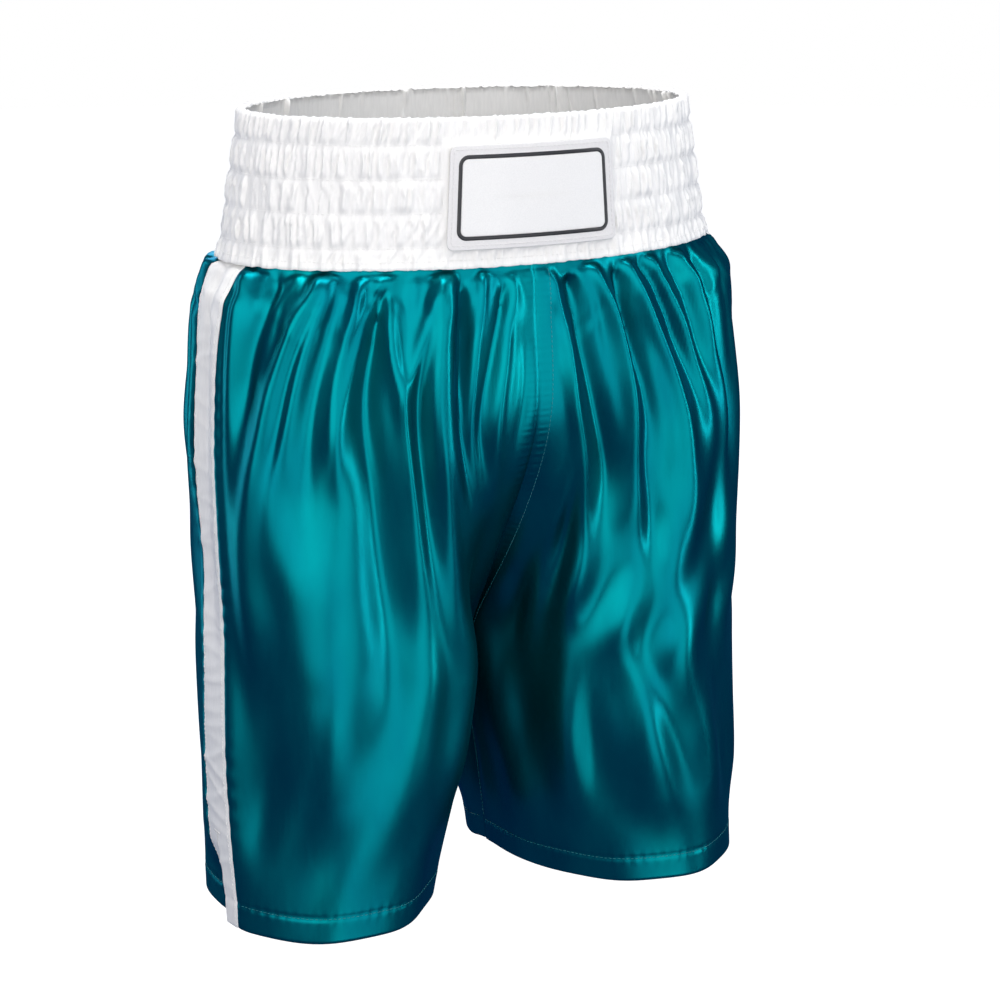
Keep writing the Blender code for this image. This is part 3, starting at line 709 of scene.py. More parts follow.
    def turned_in(self):
        """How far the back lip of the vent hangs inside the front one."""
        slit = self.stripe.start + STRIPE_COLUMNS // 2
        away = (self.turns - self.turns[:, slit][:, None]) * self.girths[:, None]
        open_here = smooth((self.depths - OUTSEAM + VENT_HEIGHT - 0.004) / 0.035)[:, None]
        return VENT_LIP_INSET * open_here * (away > -SEAM_GAP / 2) * (1 - smooth(away / 0.07))

    def puffed(self):
        """How far the gathered cloth stands out just below the waistband, most at the sides."""
        below = self.depths - BAND_HEIGHT
        swell = smooth(below / 0.030) * smooth((0.125 - below) / 0.105)
        ahead = 1 - 0.85 * smooth((self.turns - 0.43) / 0.12)
        return (PUFF_ALL_ROUND + PUFF_AT_SIDE * ahead * np.sin(math.pi * self.turns) ** 2) * swell[:, None]

    def seams(self, legs, near_centre):
        """Pressed seams, the puckers beside them, and the step of the hem with its own puckers."""
        depths, girths = self.depths[:, None], self.girths[:, None]
        total = -RISE_GROOVE * bump(near_centre / RISE_GROOVE_WIDTH)
        for edge in (self.front.stop - 1, self.stripe.start, self.stripe.stop - 1, self.back.start):
            away = (self.turns - self.turns[:, edge][:, None]) * girths
            total = total - STRIPE_GROOVE * bump(away / STRIPE_GROOVE_WIDTH)
        ripple = np.sin(2 * math.pi * depths / 0.0052 + 1.3 * np.sin(depths / 0.011))
        beside = bump((near_centre - RISE_STITCH_INSET / 2) / 0.0045) * smooth((0.36 - depths) / 0.03)
        total = total + legs.pucker * 1.1 * ripple * beside
        for edge, sign in ((self.front.stop - 1, -1), (self.back.start, 1)):
            away = (self.turns - self.turns[:, edge][:, None]) * girths * sign
            drawn = bump((away - 0.002) / 0.004) * (away > -0.0012)
            swell = 0.5 + 0.5 * np.sin(depths / 0.021 + 2 * sign)
            ripple = np.sin(2 * math.pi * depths / 0.0135 + 2 * np.sin(depths / 0.03))
            total = total + legs.pucker * 1.1 * swell * ripple * drawn
        line = OUTSEAM - HEM_DEPTH
        total = total + legs.hem_step * smooth((depths - line - 0.0004) / 0.0012)
        total = total - legs.pucker * 1.2 * bump((depths - line) / 0.0012)
        around = self.turns * girths
        gather = np.sin(2 * math.pi * around / 0.0075 + 1.5 * np.sin(around / 0.017))
        return total + legs.pucker * 0.9 * gather * bump((depths - line) / 0.0042)

    def crossing_wrinkles(self, rng, on_stripe):
        """Shallow wrinkles that cross the stripe."""
        total = np.zeros_like(self.turns)
        middle = self.turns[:, self.stripe].mean(axis=1)[:, None]
        across = (self.turns - middle) * self.girths[:, None]
        depth = BAND_HEIGHT + 0.008
        while depth < OUTSEAM - HEM_DEPTH:
            tilt, size = rng.uniform(-0.5, 0.5), rng.uniform(0.3, 1.0)
            width, bend = rng.uniform(0.0018, 0.0042), rng.uniform(-12, 12)
            line = depth + tilt * across + bend * across**2
            total += CROSSING_WRINKLE_HEIGHT * size * crest((self.depths[:, None] - line) / width)
            depth += rng.uniform(0.007, 0.017)
        return total * on_stripe

    def thickness(self, satin):
        """The cloth's thickness in each row: the turned-up hem is double."""
        return satin * (1 + smooth((self.depths - OUTSEAM + HEM_DEPTH) / HEM_TURN))

    def at(self, turn, depth):
        """A point at a turn and depth on the hanging cloth, and its outward direction."""
        row = np.interp(depth, self.depths, np.arange(len(self.depths)))
        low = min(int(row), len(self.depths) - 2)
        share = row - low
        line = self.turns[low] * (1 - share) + self.turns[low + 1] * share
        column = np.interp(turn, line, np.arange(len(line)))
        return self.cell(low, share, column)

    def cell(self, low, share, column):
        """Interpolates inside the grid, between two rows and two columns."""
        left = min(int(column), self.points.shape[1] - 2)
        over = column - left
        found = []
        for grid in (self.points, self.normals):
            upper = grid[low, left] * (1 - over) + grid[low, left + 1] * over
            lower = grid[low + 1, left] * (1 - over) + grid[low + 1, left + 1] * over
            found.append(upper * (1 - share) + lower * share)
        point, normal = found
        return point, normal / np.linalg.norm(normal)


def directions(grid):
    """The outward direction at each point of a grid."""
    down, over = np.gradient(grid, axis=0), np.gradient(grid, axis=1)
    normal = np.cross(over, down) * -1
    return normal / np.maximum(np.linalg.norm(normal, axis=-1, keepdims=True), 1e-12)


halves = {}


def half_of(side):
    """The half on one side, worked out once and kept."""
    if side not in halves:
        halves[side] = Half(side, bpy.context.scene.shorts_legs)
    return halves[side]


# ---------------------------------------------------------------- mesh helpers


def add_piece(name, points, faces, finish, sharp=math.radians(50)):
    """A new object with smooth faces, and hard edges only where they turn by more than an angle."""
    mesh = bpy.data.meshes.new(name)
    mesh.from_pydata(points, [], faces)
    mesh.materials.append(finish)
    mesh.shade_smooth()
    mesh.set_sharp_from_angle(angle=sharp)
    piece = bpy.data.objects.new(name, mesh)
    bpy.context.scene.collection.objects.link(piece)
    return piece


def cloth(name, outer, normals, thickness, finish, side="right", cells=None, ring=False):
    """A sheet of cloth with its own thickness, its hems round and its sewn sides square. outer is a grid of
    points on its right side; thickness is one value per row. cells says which cells have cloth, and ring joins
    the last column to the first."""
    rows, columns = outer.shape[:2]
    number = np.arange(rows * columns).reshape(rows, columns)
    after = np.roll(number, -1, axis=1)
    quads = np.stack([number[:-1], after[:-1], after[1:], number[1:]], axis=-1)
    keep = np.ones(quads.shape[:2], bool) if cells is None else cells
    if not ring:
        keep = keep.copy()
        keep[:, -1] = False
    quads = quads[keep]
    used = np.unique(quads)
    renumber = np.full(rows * columns, -1)
    renumber[used] = np.arange(len(used))
    quads = renumber[quads]
    front = outer.reshape(-1, 3)[used]
    normal = normals.reshape(-1, 3)[used]
    thick = np.repeat(np.broadcast_to(thickness, rows), columns)[used][:, None]
    back = front - normal * thick
    edges = np.concatenate([quads[:, [i, (i + 1) % 4]] for i in range(4)])
    keys = edges.min(axis=1) * len(used) + edges.max(axis=1)
    _, first, count = np.unique(keys, return_index=True, return_counts=True)
    rim = edges[first[count == 1]]
    leaving = np.zeros_like(front)
    out = np.cross(normal[rim[:, 0]], front[rim[:, 1]] - front[rim[:, 0]])
    out = out / np.maximum(np.linalg.norm(out, axis=1, keepdims=True), 1e-12)
    np.add.at(leaving, rim[:, 0], out)
    np.add.at(leaving, rim[:, 1], out)
    on_rim = np.unique(rim)
    away = leaving[on_rim] / np.maximum(np.linalg.norm(leaving[on_rim], axis=1, keepdims=True), 1e-12)
    hem = np.abs(away[:, 2:]) > 0.8
    centre = (front[on_rim] + back[on_rim]) / 2 + away * hem * thick[on_rim] / 2
    middle = np.full(len(used), -1)
    middle[on_rim] = 2 * len(used) + np.arange(len(on_rim))
    a, b = rim[:, 0], rim[:, 1]
    shift = len(used)
    faces = np.concatenate(
        [
            quads,
            quads[:, ::-1] + shift,
            np.stack([b, a, middle[a], middle[b]], axis=1),
            np.stack([middle[b], middle[a], a + shift, b + shift], axis=1),
        ]
    )
    points = np.concatenate([front, back, centre])
    if side == "right":
        points = points * np.array([-1.0, 1.0, 1.0])
    else:
        faces = faces[:, ::-1]
    return add_piece(name, points, faces, finish)


def stitches(name, path, up, finish, length, gap, radius):
    """A row of separate stitches along a path. up is the direction away from the cloth at each point."""
    path, up = np.array(path), np.array(up)
    steps = np.linalg.norm(np.diff(path, axis=0), axis=1)
    run = np.concatenate([[0.0], np.cumsum(steps)])
    count = max(1, int(run[-1] / (length + gap)))
    stations, sides = 5, 6
    share = np.linspace(0, 1, stations)
    pitch = run[-1] / count
    where = (np.arange(count)[:, None] + 0.5) * pitch + (share[None] - 0.5) * (pitch - gap)
    place = np.stack([np.interp(where, run, path[:, axis]) for axis in range(3)], axis=-1)
    lift = np.stack([np.interp(where, run, up[:, axis]) for axis in range(3)], axis=-1)
    lift = lift / np.linalg.norm(lift, axis=-1, keepdims=True)
    ahead = np.gradient(place, axis=1)
    ahead = ahead / np.linalg.norm(ahead, axis=-1, keepdims=True)
    beside = np.cross(ahead, lift)
    size = radius * np.array([0.45, 0.9, 1.0, 0.9, 0.45])
    rise = radius * np.array([-0.5, 0.6, 0.9, 0.6, -0.5])
    place = place + lift * rise[None, :, None]
    angle = np.linspace(0, 2 * math.pi, sides, endpoint=False)
    round_it = beside[:, :, None] * np.cos(angle)[:, None] + lift[:, :, None] * np.sin(angle)[:, None]
    points = (place[:, :, None] + round_it * size[None, :, None, None]).reshape(-1, 3)
    faces = []
    for stitch in range(count):
        base = stitch * stations * sides
        for station in range(stations - 1):
            for turn in range(sides):
                a, b = base + station * sides + turn, base + station * sides + (turn + 1) % sides
                faces.append((a, a + sides, b + sides, b))
        faces.append(tuple(base + turn for turn in range(sides)))
        faces.append(tuple(base + (stations - 1) * sides + turn for turn in reversed(range(sides))))
    return add_piece(name, points, faces, finish, sharp=math.pi)


def mirror_path(path, up, side):
    """A path and its lift, moved to the side that they belong to."""
    flip = np.array([SIDES[side], 1.0, 1.0])
    return np.array(path) * flip, np.array(up) * flip


def follow_leg(piece):
    """Bakes a piece of a leg's placement into its mesh."""
    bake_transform(piece)


# ---------------------------------------------------------------- materials


def new_material(name):
    """An empty material, its nodes and its links."""
    made = bpy.data.materials.get(name) or bpy.data.materials.new(name)
    made.use_nodes = True
    made.node_tree.nodes.clear()
    return made, made.node_tree.nodes, made.node_tree.links


def shader_of(nodes, links, roughness, metallic=0.0, sheen=0.0):
    """A Principled shader joined to the output."""
    shader = nodes.new("ShaderNodeBsdfPrincipled")
    shader.inputs["Roughness"].default_value = roughness
    shader.inputs["Metallic"].default_value = metallic
    shader.inputs["Sheen Weight"].default_value = sheen
    output = nodes.new("ShaderNodeOutputMaterial")
    links.new(shader.outputs["BSDF"], output.inputs["Surface"])
    return shader


def grain(nodes, links, scale, stretch, detail=2.0):
    """Noise in object space, drawn out along one axis as yarn is."""
    where = nodes.new("ShaderNodeTexCoord")
    mapping = nodes.new("ShaderNodeMapping")
    mapping.inputs["Scale"].default_value = stretch
    noise = nodes.new("ShaderNodeTexNoise")
    noise.inputs["Scale"].default_value = scale
    noise.inputs["Detail"].default_value = detail
    links.new(where.outputs["Object"], mapping.inputs["Vector"])
    links.new(mapping.outputs["Vector"], noise.inputs["Vector"])
    return noise.outputs["Fac"]


def blend_colours(nodes, links, factor, first, second, low=0.3, high=0.7):
    """Two colours, mixed by a factor between its low and its high value."""
    ramp = nodes.new("ShaderNodeValToRGB")
    start, end = ramp.color_ramp.elements
    start.position, end.position = low, high
    start.color, end.color = (*first, 1.0), (*second, 1.0)
    links.new(factor, ramp.inputs["Fac"])
    return ramp.outputs["Color"]


def spread_value(nodes, links, factor, low, high):
    """Maps a factor from 0..1 to low..high."""
    ranged = nodes.new("ShaderNodeMapRange")
    ranged.inputs["To Min"].default_value = low
    ranged.inputs["To Max"].default_value = high
    links.new(factor, ranged.inputs["Value"])
    return ranged.outputs["Result"]


def add_bump(nodes, links, shader, heights):
    """Bumps from (height, strength, distance), the first one underneath."""
    normal = None
    for height, strength, distance in heights:
        node = nodes.new("ShaderNodeBump")
        node.inputs["Strength"].default_value = strength
        node.inputs["Distance"].default_value = distance
        links.new(height, node.inputs["Height"])
        if normal:
            links.new(normal, node.inputs["Normal"])
        normal = node.outputs["Normal"]
    links.new(normal, shader.inputs["Normal"])


def leg_satin():
    """Glossy woven satin: the yarn floats lengthwise, so its grain runs down the leg."""
    colours = bpy.context.scene.shorts_colours
    made, nodes, links = new_material("teal_satin")
    shader = shader_of(nodes, links, roughness=0.34, metallic=0.94)
    shader.inputs["Specular Tint"].default_value = (0.25, 0.42, 0.60, 1.0)
    floats = grain(nodes, links, 520.0, (1.0, 1.0, 0.12), detail=3.0)
    cloud = grain(nodes, links, 26.0, (1.0, 1.0, 0.4))
    colour = blend_colours(nodes, links, cloud, tuple(colours.satin_shade), tuple(colours.satin))
    links.new(colour, shader.inputs["Base Color"])
    links.new(spread_value(nodes, links, floats, 0.29, 0.40), shader.inputs["Roughness"])
    weave = grain(nodes, links, 1500.0, (1.0, 1.0, 0.35))
    add_bump(nodes, links, shader, [(floats, 0.10, 0.0004), (weave, 0.10, 0.0002)])
    return made


def white_satin():
    """The satin of the waistband and the stripes, less glossy than the legs'."""
    colours = bpy.context.scene.shorts_colours
    made, nodes, links = new_material("white_satin")
    shader = shader_of(nodes, links, roughness=0.42, sheen=0.25)
    white = tuple(colours.white)
    floats = grain(nodes, links, 620.0, (1.0, 1.0, 0.15), detail=3.0)
    colour = blend_colours(nodes, links, floats, tuple(0.93 * c for c in white), white)
    links.new(colour, shader.inputs["Base Color"])
    links.new(spread_value(nodes, links, floats, 0.36, 0.50), shader.inputs["Roughness"])
    weave = grain(nodes, links, 1700.0, (1.0, 1.0, 0.4))
    add_bump(nodes, links, shader, [(floats, 0.12, 0.0004), (weave, 0.12, 0.0002)])
    return made


def knitted_elastic():
    """Matt ribbed knit."""
    made, nodes, links = new_material("white_elastic")
    shader = shader_of(nodes, links, roughness=0.85, sheen=0.2)
    ribs = grain(nodes, links, 900.0, (0.2, 0.2, 1.0))
    colour = blend_colours(nodes, links, ribs, (0.66, 0.66, 0.64), (0.80, 0.80, 0.78))
    links.new(colour, shader.inputs["Base Color"])
    add_bump(nodes, links, shader, [(ribs, 0.6, 0.0006)])
    return made


def moulded(name, colour, roughness, grain_size, strength):
    """Soft moulded rubber or printed foil with a fine pebble."""
    made, nodes, links = new_material(name)
    shader = shader_of(nodes, links, roughness=roughness)
    pebble = grain(nodes, links, grain_size, (1.0, 1.0, 1.0), detail=4.0)
    tint = blend_colours(nodes, links, pebble, tuple(0.93 * c for c in colour), tuple(colour))
    links.new(tint, shader.inputs["Base Color"])
    mottled = spread_value(nodes, links, pebble, roughness - 0.07, roughness + 0.07)
    links.new(mottled, shader.inputs["Roughness"])
    add_bump(nodes, links, shader, [(pebble, strength, 0.0003)])
    return made


def sewing_thread(name, colour):
    """Twisted thread with a slight sheen."""
    made, nodes, links = new_material(name)
    shader = shader_of(nodes, links, roughness=0.5, sheen=0.2)
    twist = grain(nodes, links, 2600.0, (1.0, 1.0, 0.5))
    tint = blend_colours(nodes, links, twist, tuple(0.8 * c for c in colour), tuple(colour))
    links.new(tint, shader.inputs["Base Color"])
    add_bump(nodes, links, shader, [(twist, 0.4, 0.0002)])
    return made


def glowing_paint(name, colour, glow):
    """Matt paint that also gives a little light of its own."""
    made, nodes, links = new_material(name)
    shader = shader_of(nodes, links, roughness=0.8)
    shader.inputs["Specular IOR Level"].default_value = 0.0
    shader.inputs["Emission Color"].default_value = (1.0, 1.0, 1.0, 1.0)
    shader.inputs["Emission Strength"].default_value = glow
    mottle = grain(nodes, links, 3.0, (1.0, 1.0, 1.0))
    tint = blend_colours(nodes, links, mottle, tuple(0.99 * c for c in colour), tuple(colour))
    links.new(tint, shader.inputs["Base Color"])
    return made


# ---------------------------------------------------------------- waistband


class Shirring:
    """The crinkles of the waistband: their own pattern in each channel between two stitch rows."""

    def __init__(self, settings):
        self.settings = settings
        rng = np.random.default_rng(settings.seed)
        self.angles = np.linspace(0, 2 * math.pi, BAND_COLUMNS, endpoint=False)
        middle = BAND_HEIGHT / 2
        line = self.plain(self.angles, middle, 0.0)
        step = np.linalg.norm(np.roll(line, -1, axis=0) - line, axis=1)
        self.run = np.concatenate([[0.0], np.cumsum(step)[:-1]])
        self.round = step.sum()
        self.rows = (-0.004, *STITCH_ROWS, BAND_HEIGHT + 0.006)
        self.channels = [self.pattern(rng, settings.spacing * rng.uniform(0.85, 1.25)) for _ in self.rows[:-1]]
        self.shared = self.pattern(rng, settings.spacing * 1.7)
        self.fine = self.pattern(rng, settings.spacing * 0.55)
        self.lean = [rng.uniform(-0.12, 0.12) for _ in self.rows]
        self.creases = [self.pattern(rng, settings.spacing * 1.5) * (1, 1, 0.42) for _ in self.rows[:-1]]

    @staticmethod
    def plain(angles, depth, lift):
        """Points round the waistband at one depth, lifted off its plain shape."""
        wide, deep = half_width(depth), half_depth(depth)
        points = np.stack([wide * np.cos(angles), deep * np.sin(angles), np.full_like(angles, -depth)], axis=-1)
        out = np.stack([np.cos(angles) / wide, np.sin(angles) / deep, np.zeros_like(angles)], axis=-1)
        return points + out / np.linalg.norm(out, axis=-1, keepdims=True) * np.asarray(lift)[..., None]

    def pattern(self, rng, spacing):
        """Crests at uneven steps round the waist: (place, height, width) for each."""
        crests, place = [], 0.0
        while place < self.round - spacing * 0.6:
            crests.append((place, rng.uniform(0.35, 1.25), spacing * rng.uniform(0.20, 0.42)))
            place += spacing * rng.uniform(0.55, 1.5)
        return np.array(crests)

    def wave(self, crests, run):
        """The pattern's height along a run, about 0 on average."""
        away = (run[:, None] - crests[None, :, 0] + self.round / 2) % self.round - self.round / 2
        total = (crests[None, :, 1] * crest(away / crests[None, :, 2])).sum(axis=1)
        return total - 0.42

    def relief(self, depth):
        """How far the cloth stands out at each angle, at one depth."""
        settings, total = self.settings, np.zeros(BAND_COLUMNS)
        wander = 0.0013 * math.sin(depth / 0.0047) + 0.0008 * math.sin(depth / 0.0021 + 1)
        for low, high, crests, creases, lean in zip(
            self.rows, self.rows[1:], self.channels, self.creases, self.lean
        ):
            middle, half = (low + high) / 2, (high - low) / 2
            window = np.clip(1.08 - abs((depth - middle) / half) ** 3.0, 0, 1)
            if window > 0:
                total += window * 0.75 * self.wave(crests, self.run + lean * (depth - middle))
                total -= window * 0.50 * (self.wave(creases, self.run + wander) + 0.10)
        sway = 0.0035 * math.sin(depth / 0.013)
        total += 0.40 * self.wave(self.shared, self.run + sway)
        total += 0.24 * self.wave(self.fine, self.run + 3 * sway)
        drawn = min(abs(depth - row) for row in STITCH_ROWS)
        free = 1 - 0.62 * math.exp(-((drawn / 0.0028) ** 2))
        foot = smooth((depth - BAND_HEIGHT + 0.008) / 0.008)
        at_seam = 1 - 0.45 * foot
        relief = settings.height * total * free * at_seam - settings.pinch * math.exp(-((drawn / 0.0022) ** 2))
        relief = np.clip(relief, -DEEPEST_CRINKLE * (1 - foot), None) - CRINKLE_INSET * (1 - foot)
        return relief * self.clear_of_patch(depth)

    def clear_of_patch(self, depth):
        """0 under the patch, where the cloth is sewn flat, and 1 away from it."""
        x = half_width(depth) * np.cos(self.angles)
        beside = smooth((np.abs(x) - PATCH_WIDTH / 2 + 0.002) / 0.006)
        over = smooth((abs(depth - PATCH_TOP - PATCH_HEIGHT / 2) - PATCH_HEIGHT / 2 + 0.001) / 0.005)
        behind = (np.sin(self.angles) > 0).astype(float)
        return np.maximum(np.maximum(beside, over), behind)


shirrings = {}


def shirring():
    """The waistband's shirring, worked out once and kept."""
    if "band" not in shirrings:
        shirrings["band"] = Shirring(bpy.context.scene.shorts_waistband)
    return shirrings["band"]


class SHORTS_OT_waistband(Operator):
    """Sew the shirred waistband round its elastic"""

    bl_idname = "shorts.waistband"
    bl_label = "Waistband"

    def execute(self, context):
        settings, band = context.scene.shorts_waistband, shirring()
        radius = BAND_THICKNESS / 2
        ruffle = settings.ruffle * band.wave(band.channels[0], band.run)
        foot = 0.7 * settings.ruffle * band.wave(band.shared, band.run)
        rows = []
        outer = np.linspace(BAND_HEIGHT, radius, 50)
        for depth in outer:
            row = band.plain(band.angles, depth, band.relief(depth))
            row[:, 2] += ruffle * (1 - smooth(depth / 0.016)) + foot * smooth((depth - BAND_HEIGHT) / 0.012 + 1)
            rows.append(row)
        crown, inner = band.relief(radius), band.relief(BAND_HEIGHT / 3)
        for angle in np.linspace(0, math.pi, 9)[1:-1]:
            share = angle / math.pi
            lift = -radius * (1 - math.cos(angle)) + crown * (1 - share) + 0.45 * inner * share
            row = band.plain(band.angles, radius - radius * math.sin(angle), lift)
            row[:, 2] += ruffle
            rows.append(row)
        for depth in np.linspace(radius, BAND_HEIGHT, 26):
            inside = 0.35 * band.relief(min(depth + 0.002, BAND_HEIGHT)) + 0.65 * band.relief(BAND_HEIGHT / 2)
            row = band.plain(band.angles, depth, -BAND_THICKNESS - 2.6 * np.maximum(inside, -0.0003))
            row[:, 2] += ruffle * (1 - smooth(depth / 0.016))
            rows.append(row)
        grid = np.array(rows)
        satin = white_satin()
        piece = band_cloth("waistband_shirred_cloth", grid, settings.cloth, satin)
        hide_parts("waistband_cover")
        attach(piece, "root")
        self.elastic(band)
        return {"FINISHED"}

    def elastic(self, band):
        """The wide elastic inside the waistband: a flat ribbed ring."""
        low, high = (-corner.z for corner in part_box("waistband_elastic"))
        rows = []
        for depth in np.linspace(low, high, 120):
            rib = 0.00012 * math.cos(2 * math.pi * depth / 0.0027)
            rows.append(band.plain(band.angles[::4], depth, -BAND_THICKNESS / 2 + rib))
        piece = band_cloth("waistband_ribbed_elastic", np.array(rows), ELASTIC, knitted_elastic())
        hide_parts("waistband_elastic")
        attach(piece, "root")


def band_cloth(name, grid, thickness, finish):
    """The waistband's cloth as one closed ring, its right side outward all the way over the rim."""
    down = np.gradient(grid, axis=0)
    over = np.roll(grid, -1, axis=1) - np.roll(grid, 1, axis=1)
    normal = np.cross(over, down)
    normal = normal / np.linalg.norm(normal, axis=-1, keepdims=True)
    return cloth(name, grid[::-1], normal[::-1], thickness, finish, side="left", ring=True)


class SHORTS_OT_band_stitching(Operator):
    """Sew the rows of stitches that shirr the waistband, and the seam below it"""

    bl_idname = "shorts.band_stitching"
    bl_label = "Waistband stitching"

    def execute(self, context):
        settings, band = context.scene.shorts_stitches, shirring()
        finish = sewing_thread("white_thread", tuple(context.scene.shorts_colours.white))
        rows = [
            (f"waistband_stitch_row_{number}", f"shirring_stitches_{number}", depth)
            for number, depth in enumerate(STITCH_ROWS, start=1)
        ]
        rows.append(("waist_seam_stitching", "waist_seam_stitches", BAND_HEIGHT - 2 * EDGE_STITCH_INSET))
        for node, name, depth in rows:
            start = int(BAND_COLUMNS * 0.75)
            path = np.roll(band.plain(band.angles, depth, band.relief(depth)), -start, axis=0)
            up = band.plain(band.angles, depth, 1.0) - band.plain(band.angles, depth, 0.0)
            up = np.roll(up, -start, axis=0)
            if depth < PATCH_TOP + PATCH_HEIGHT:
                shown = (np.abs(path[:, 0]) >= PATCH_WIDTH / 2 + 0.001) | (path[:, 1] >= 0)
                path, up = path[shown], up[shown]
            else:
                path, up = np.concatenate([path, path[:1]]), np.concatenate([up, up[:1]])
            piece = stitches(name, path, up, finish, settings.length, settings.gap, settings.radius)
            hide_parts(node)
            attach(piece, "root")
        return {"FINISHED"}


# ---------------------------------------------------------------- patch


def rounded_outline(width, height, corner):
    """Points round a rectangle with round corners, its sides divided."""
    corner = max(corner, 0.0004)
    points = []
    for sx, sy, start in ((1, 1, 0), (-1, 1, 90), (-1, -1, 180), (1, -1, 270)):
        for step in range(CORNER_STEPS):
            angle = math.radians(start + 90 * step / (CORNER_STEPS - 1))
            points.append(
                (sx * (width / 2 - corner) + corner * math.cos(angle),
                 sy * (height / 2 - corner) + corner * math.sin(angle))
            )
        level = start in (0, 180)
        run = (width if level else height) / 2 - corner
        sign = 1 if start < 180 else -1
        for share in np.linspace(sign, -sign, LONG_SIDE_STEPS if level else SHORT_SIDE_STEPS)[1:-1]:
            points.append((share * run, sign * height / 2) if level else (-sign * width / 2, share * run))
    return np.array(points)


def on_patch(across, up, lift):
    """A point over the front of the waistband, from the middle of the patch."""
    depth = PATCH_TOP + PATCH_HEIGHT / 2 - up
    wide = np.array([half_width(d) for d in depth]) + lift
    deep = np.array([half_depth(d) for d in depth]) + lift
    turn = across / half_width(PATCH_TOP + PATCH_HEIGHT / 2)
    return np.stack([wide * np.sin(turn), -deep * np.cos(turn), -depth], axis=-1)


def plate(name, width, height, corner, profile, finish, hole=None):
    """A plate that follows the waistband. profile is (inset, lift) from the underside's edge over the rim
    to the inside; without a hole it is closed to the middle by ever smaller loops."""
    loops = []
    for inset, lift in profile:
        outline = rounded_outline(width - 2 * inset, height - 2 * inset, corner - inset)
        loops.append(on_patch(outline[:, 0], outline[:, 1], lift))
    count = len(loops[0])
    points = np.concatenate(loops)
    faces = []
    pairs = list(zip(range(len(loops)), range(1, len(loops))))
    if hole:
        pairs.append((len(loops) - 1, 0))
    for first, second in pairs:
        for step in range(count):
            after = (step + 1) % count
            low, high = first * count, second * count
            faces.append((low + step, low + after, high + after, high + step))
    if not hole:
        last = (len(loops) - 1) * count
        faces.append(tuple(last + step for step in range(count)))
        faces.append(tuple(reversed(range(count))))
    return add_piece(name, points, faces, finish, sharp=math.radians(40))


def rounded_edge(low, high, rounding):
    """(inset, lift) points from the underside up a side and over a round edge."""
    arc = [
        (rounding * (1 - math.cos(a)), high - rounding + rounding * math.sin(a))
        for a in np.linspace(0, math.pi / 2, 6)
    ]
    return [(0.0004, low), (0.0, low + 0.0003), *arc]


class SHORTS_OT_patch(Operator):
    """Mould the blank patch with its outline, and sew it on"""

    bl_idname = "shorts.patch"
    bl_label = "Patch"

    def execute(self, context):
        patch, colours = context.scene.shorts_patch, context.scene.shorts_colours
        rubber = moulded("patch_rubber", tuple(colours.rubber), 0.50, 900.0, 0.25)
        face = moulded("patch_face", tuple(colours.plate), 0.42, 1300.0, 0.12)
        black = moulded("black_outline", tuple(colours.outline), 0.32, 1300.0, 0.15)
        top = patch.lift + patch.thickness
        inward = [(inset, top) for inset in np.arange(0.003, PATCH_HEIGHT / 2 - 0.0004, LOOP_STEP)]
        profile = rounded_edge(patch.lift, top, patch.rounding) + inward
        base = plate("patch_rubber_base", PATCH_WIDTH, PATCH_HEIGHT, PATCH_CORNER, profile, rubber)
        wide, tall = PATCH_WIDTH - 2 * OUTLINE_MARGIN, PATCH_HEIGHT - 2 * OUTLINE_MARGIN
        section = [
            (OUTLINE_WIDTH / 2 * (1 - math.cos(a)), top - 0.0001 + patch.relief * math.sin(a))
            for a in np.linspace(0, math.pi, 9)
        ]
        ring = plate("patch_raised_outline", wide, tall, OUTLINE_CORNER, section, black, hole=True)
        inset = OUTLINE_WIDTH + 0.0003
        level = top + patch.relief * 0.45
        across = [(d, level) for d in np.arange(0.002, tall / 2 - inset - 0.0004, LOOP_STEP)]
        plate_profile = rounded_edge(top - 0.0001, level, 0.0003) + across
        middle = plate(
            "patch_blank_face", wide - 2 * inset, tall - 2 * inset, OUTLINE_CORNER - inset, plate_profile, face
        )
        outline = rounded_outline(
            PATCH_WIDTH - 2 * PATCH_STITCH_INSET, PATCH_HEIGHT - 2 * PATCH_STITCH_INSET, PATCH_CORNER / 2
        )
        outline = np.concatenate([outline, outline[:1]])
        path = on_patch(outline[:, 0], outline[:, 1], top)
        up = on_patch(outline[:, 0], outline[:, 1], top + 1.0) - path
        thread = sewing_thread("patch_thread", tuple(colours.rubber))
        settings = context.scene.shorts_stitches
        sewn = stitches("patch_stitches", path, up, thread, settings.length, settings.gap, settings.radius)
        for piece, node, slot in (
            (base, "patch_base", "patch_rubber"), (ring, "patch_outline", "black_outline"),
            (middle, "patch_face", "patch_face"), (sewn, "patch_stitching", "white_thread"),
        ):
            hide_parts(node)
            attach(piece, "root")
        return {"FINISHED"}


# ---------------------------------------------------------------- legs


class SHORTS_OT_panels(Operator):
    """Cut and hang the four gathered panels"""

    bl_idname = "shorts.panels"
    bl_label = "Leg panels"

    def execute(self, context):
        satin, legs = leg_satin(), context.scene.shorts_legs
        for side in SIDES:
            half = half_of(side)
            thickness = half.thickness(legs.cloth)
            for part, columns in (("front", half.front), ("back", half.back)):
                points, normals = half.points[:, columns], half.normals[:, columns]
                piece = cloth(f"{side}_{part}_satin", points, normals, thickness, satin, side)
                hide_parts(f"{part}_{side}_panel")
                follow_leg(piece)
        return {"FINISHED"}


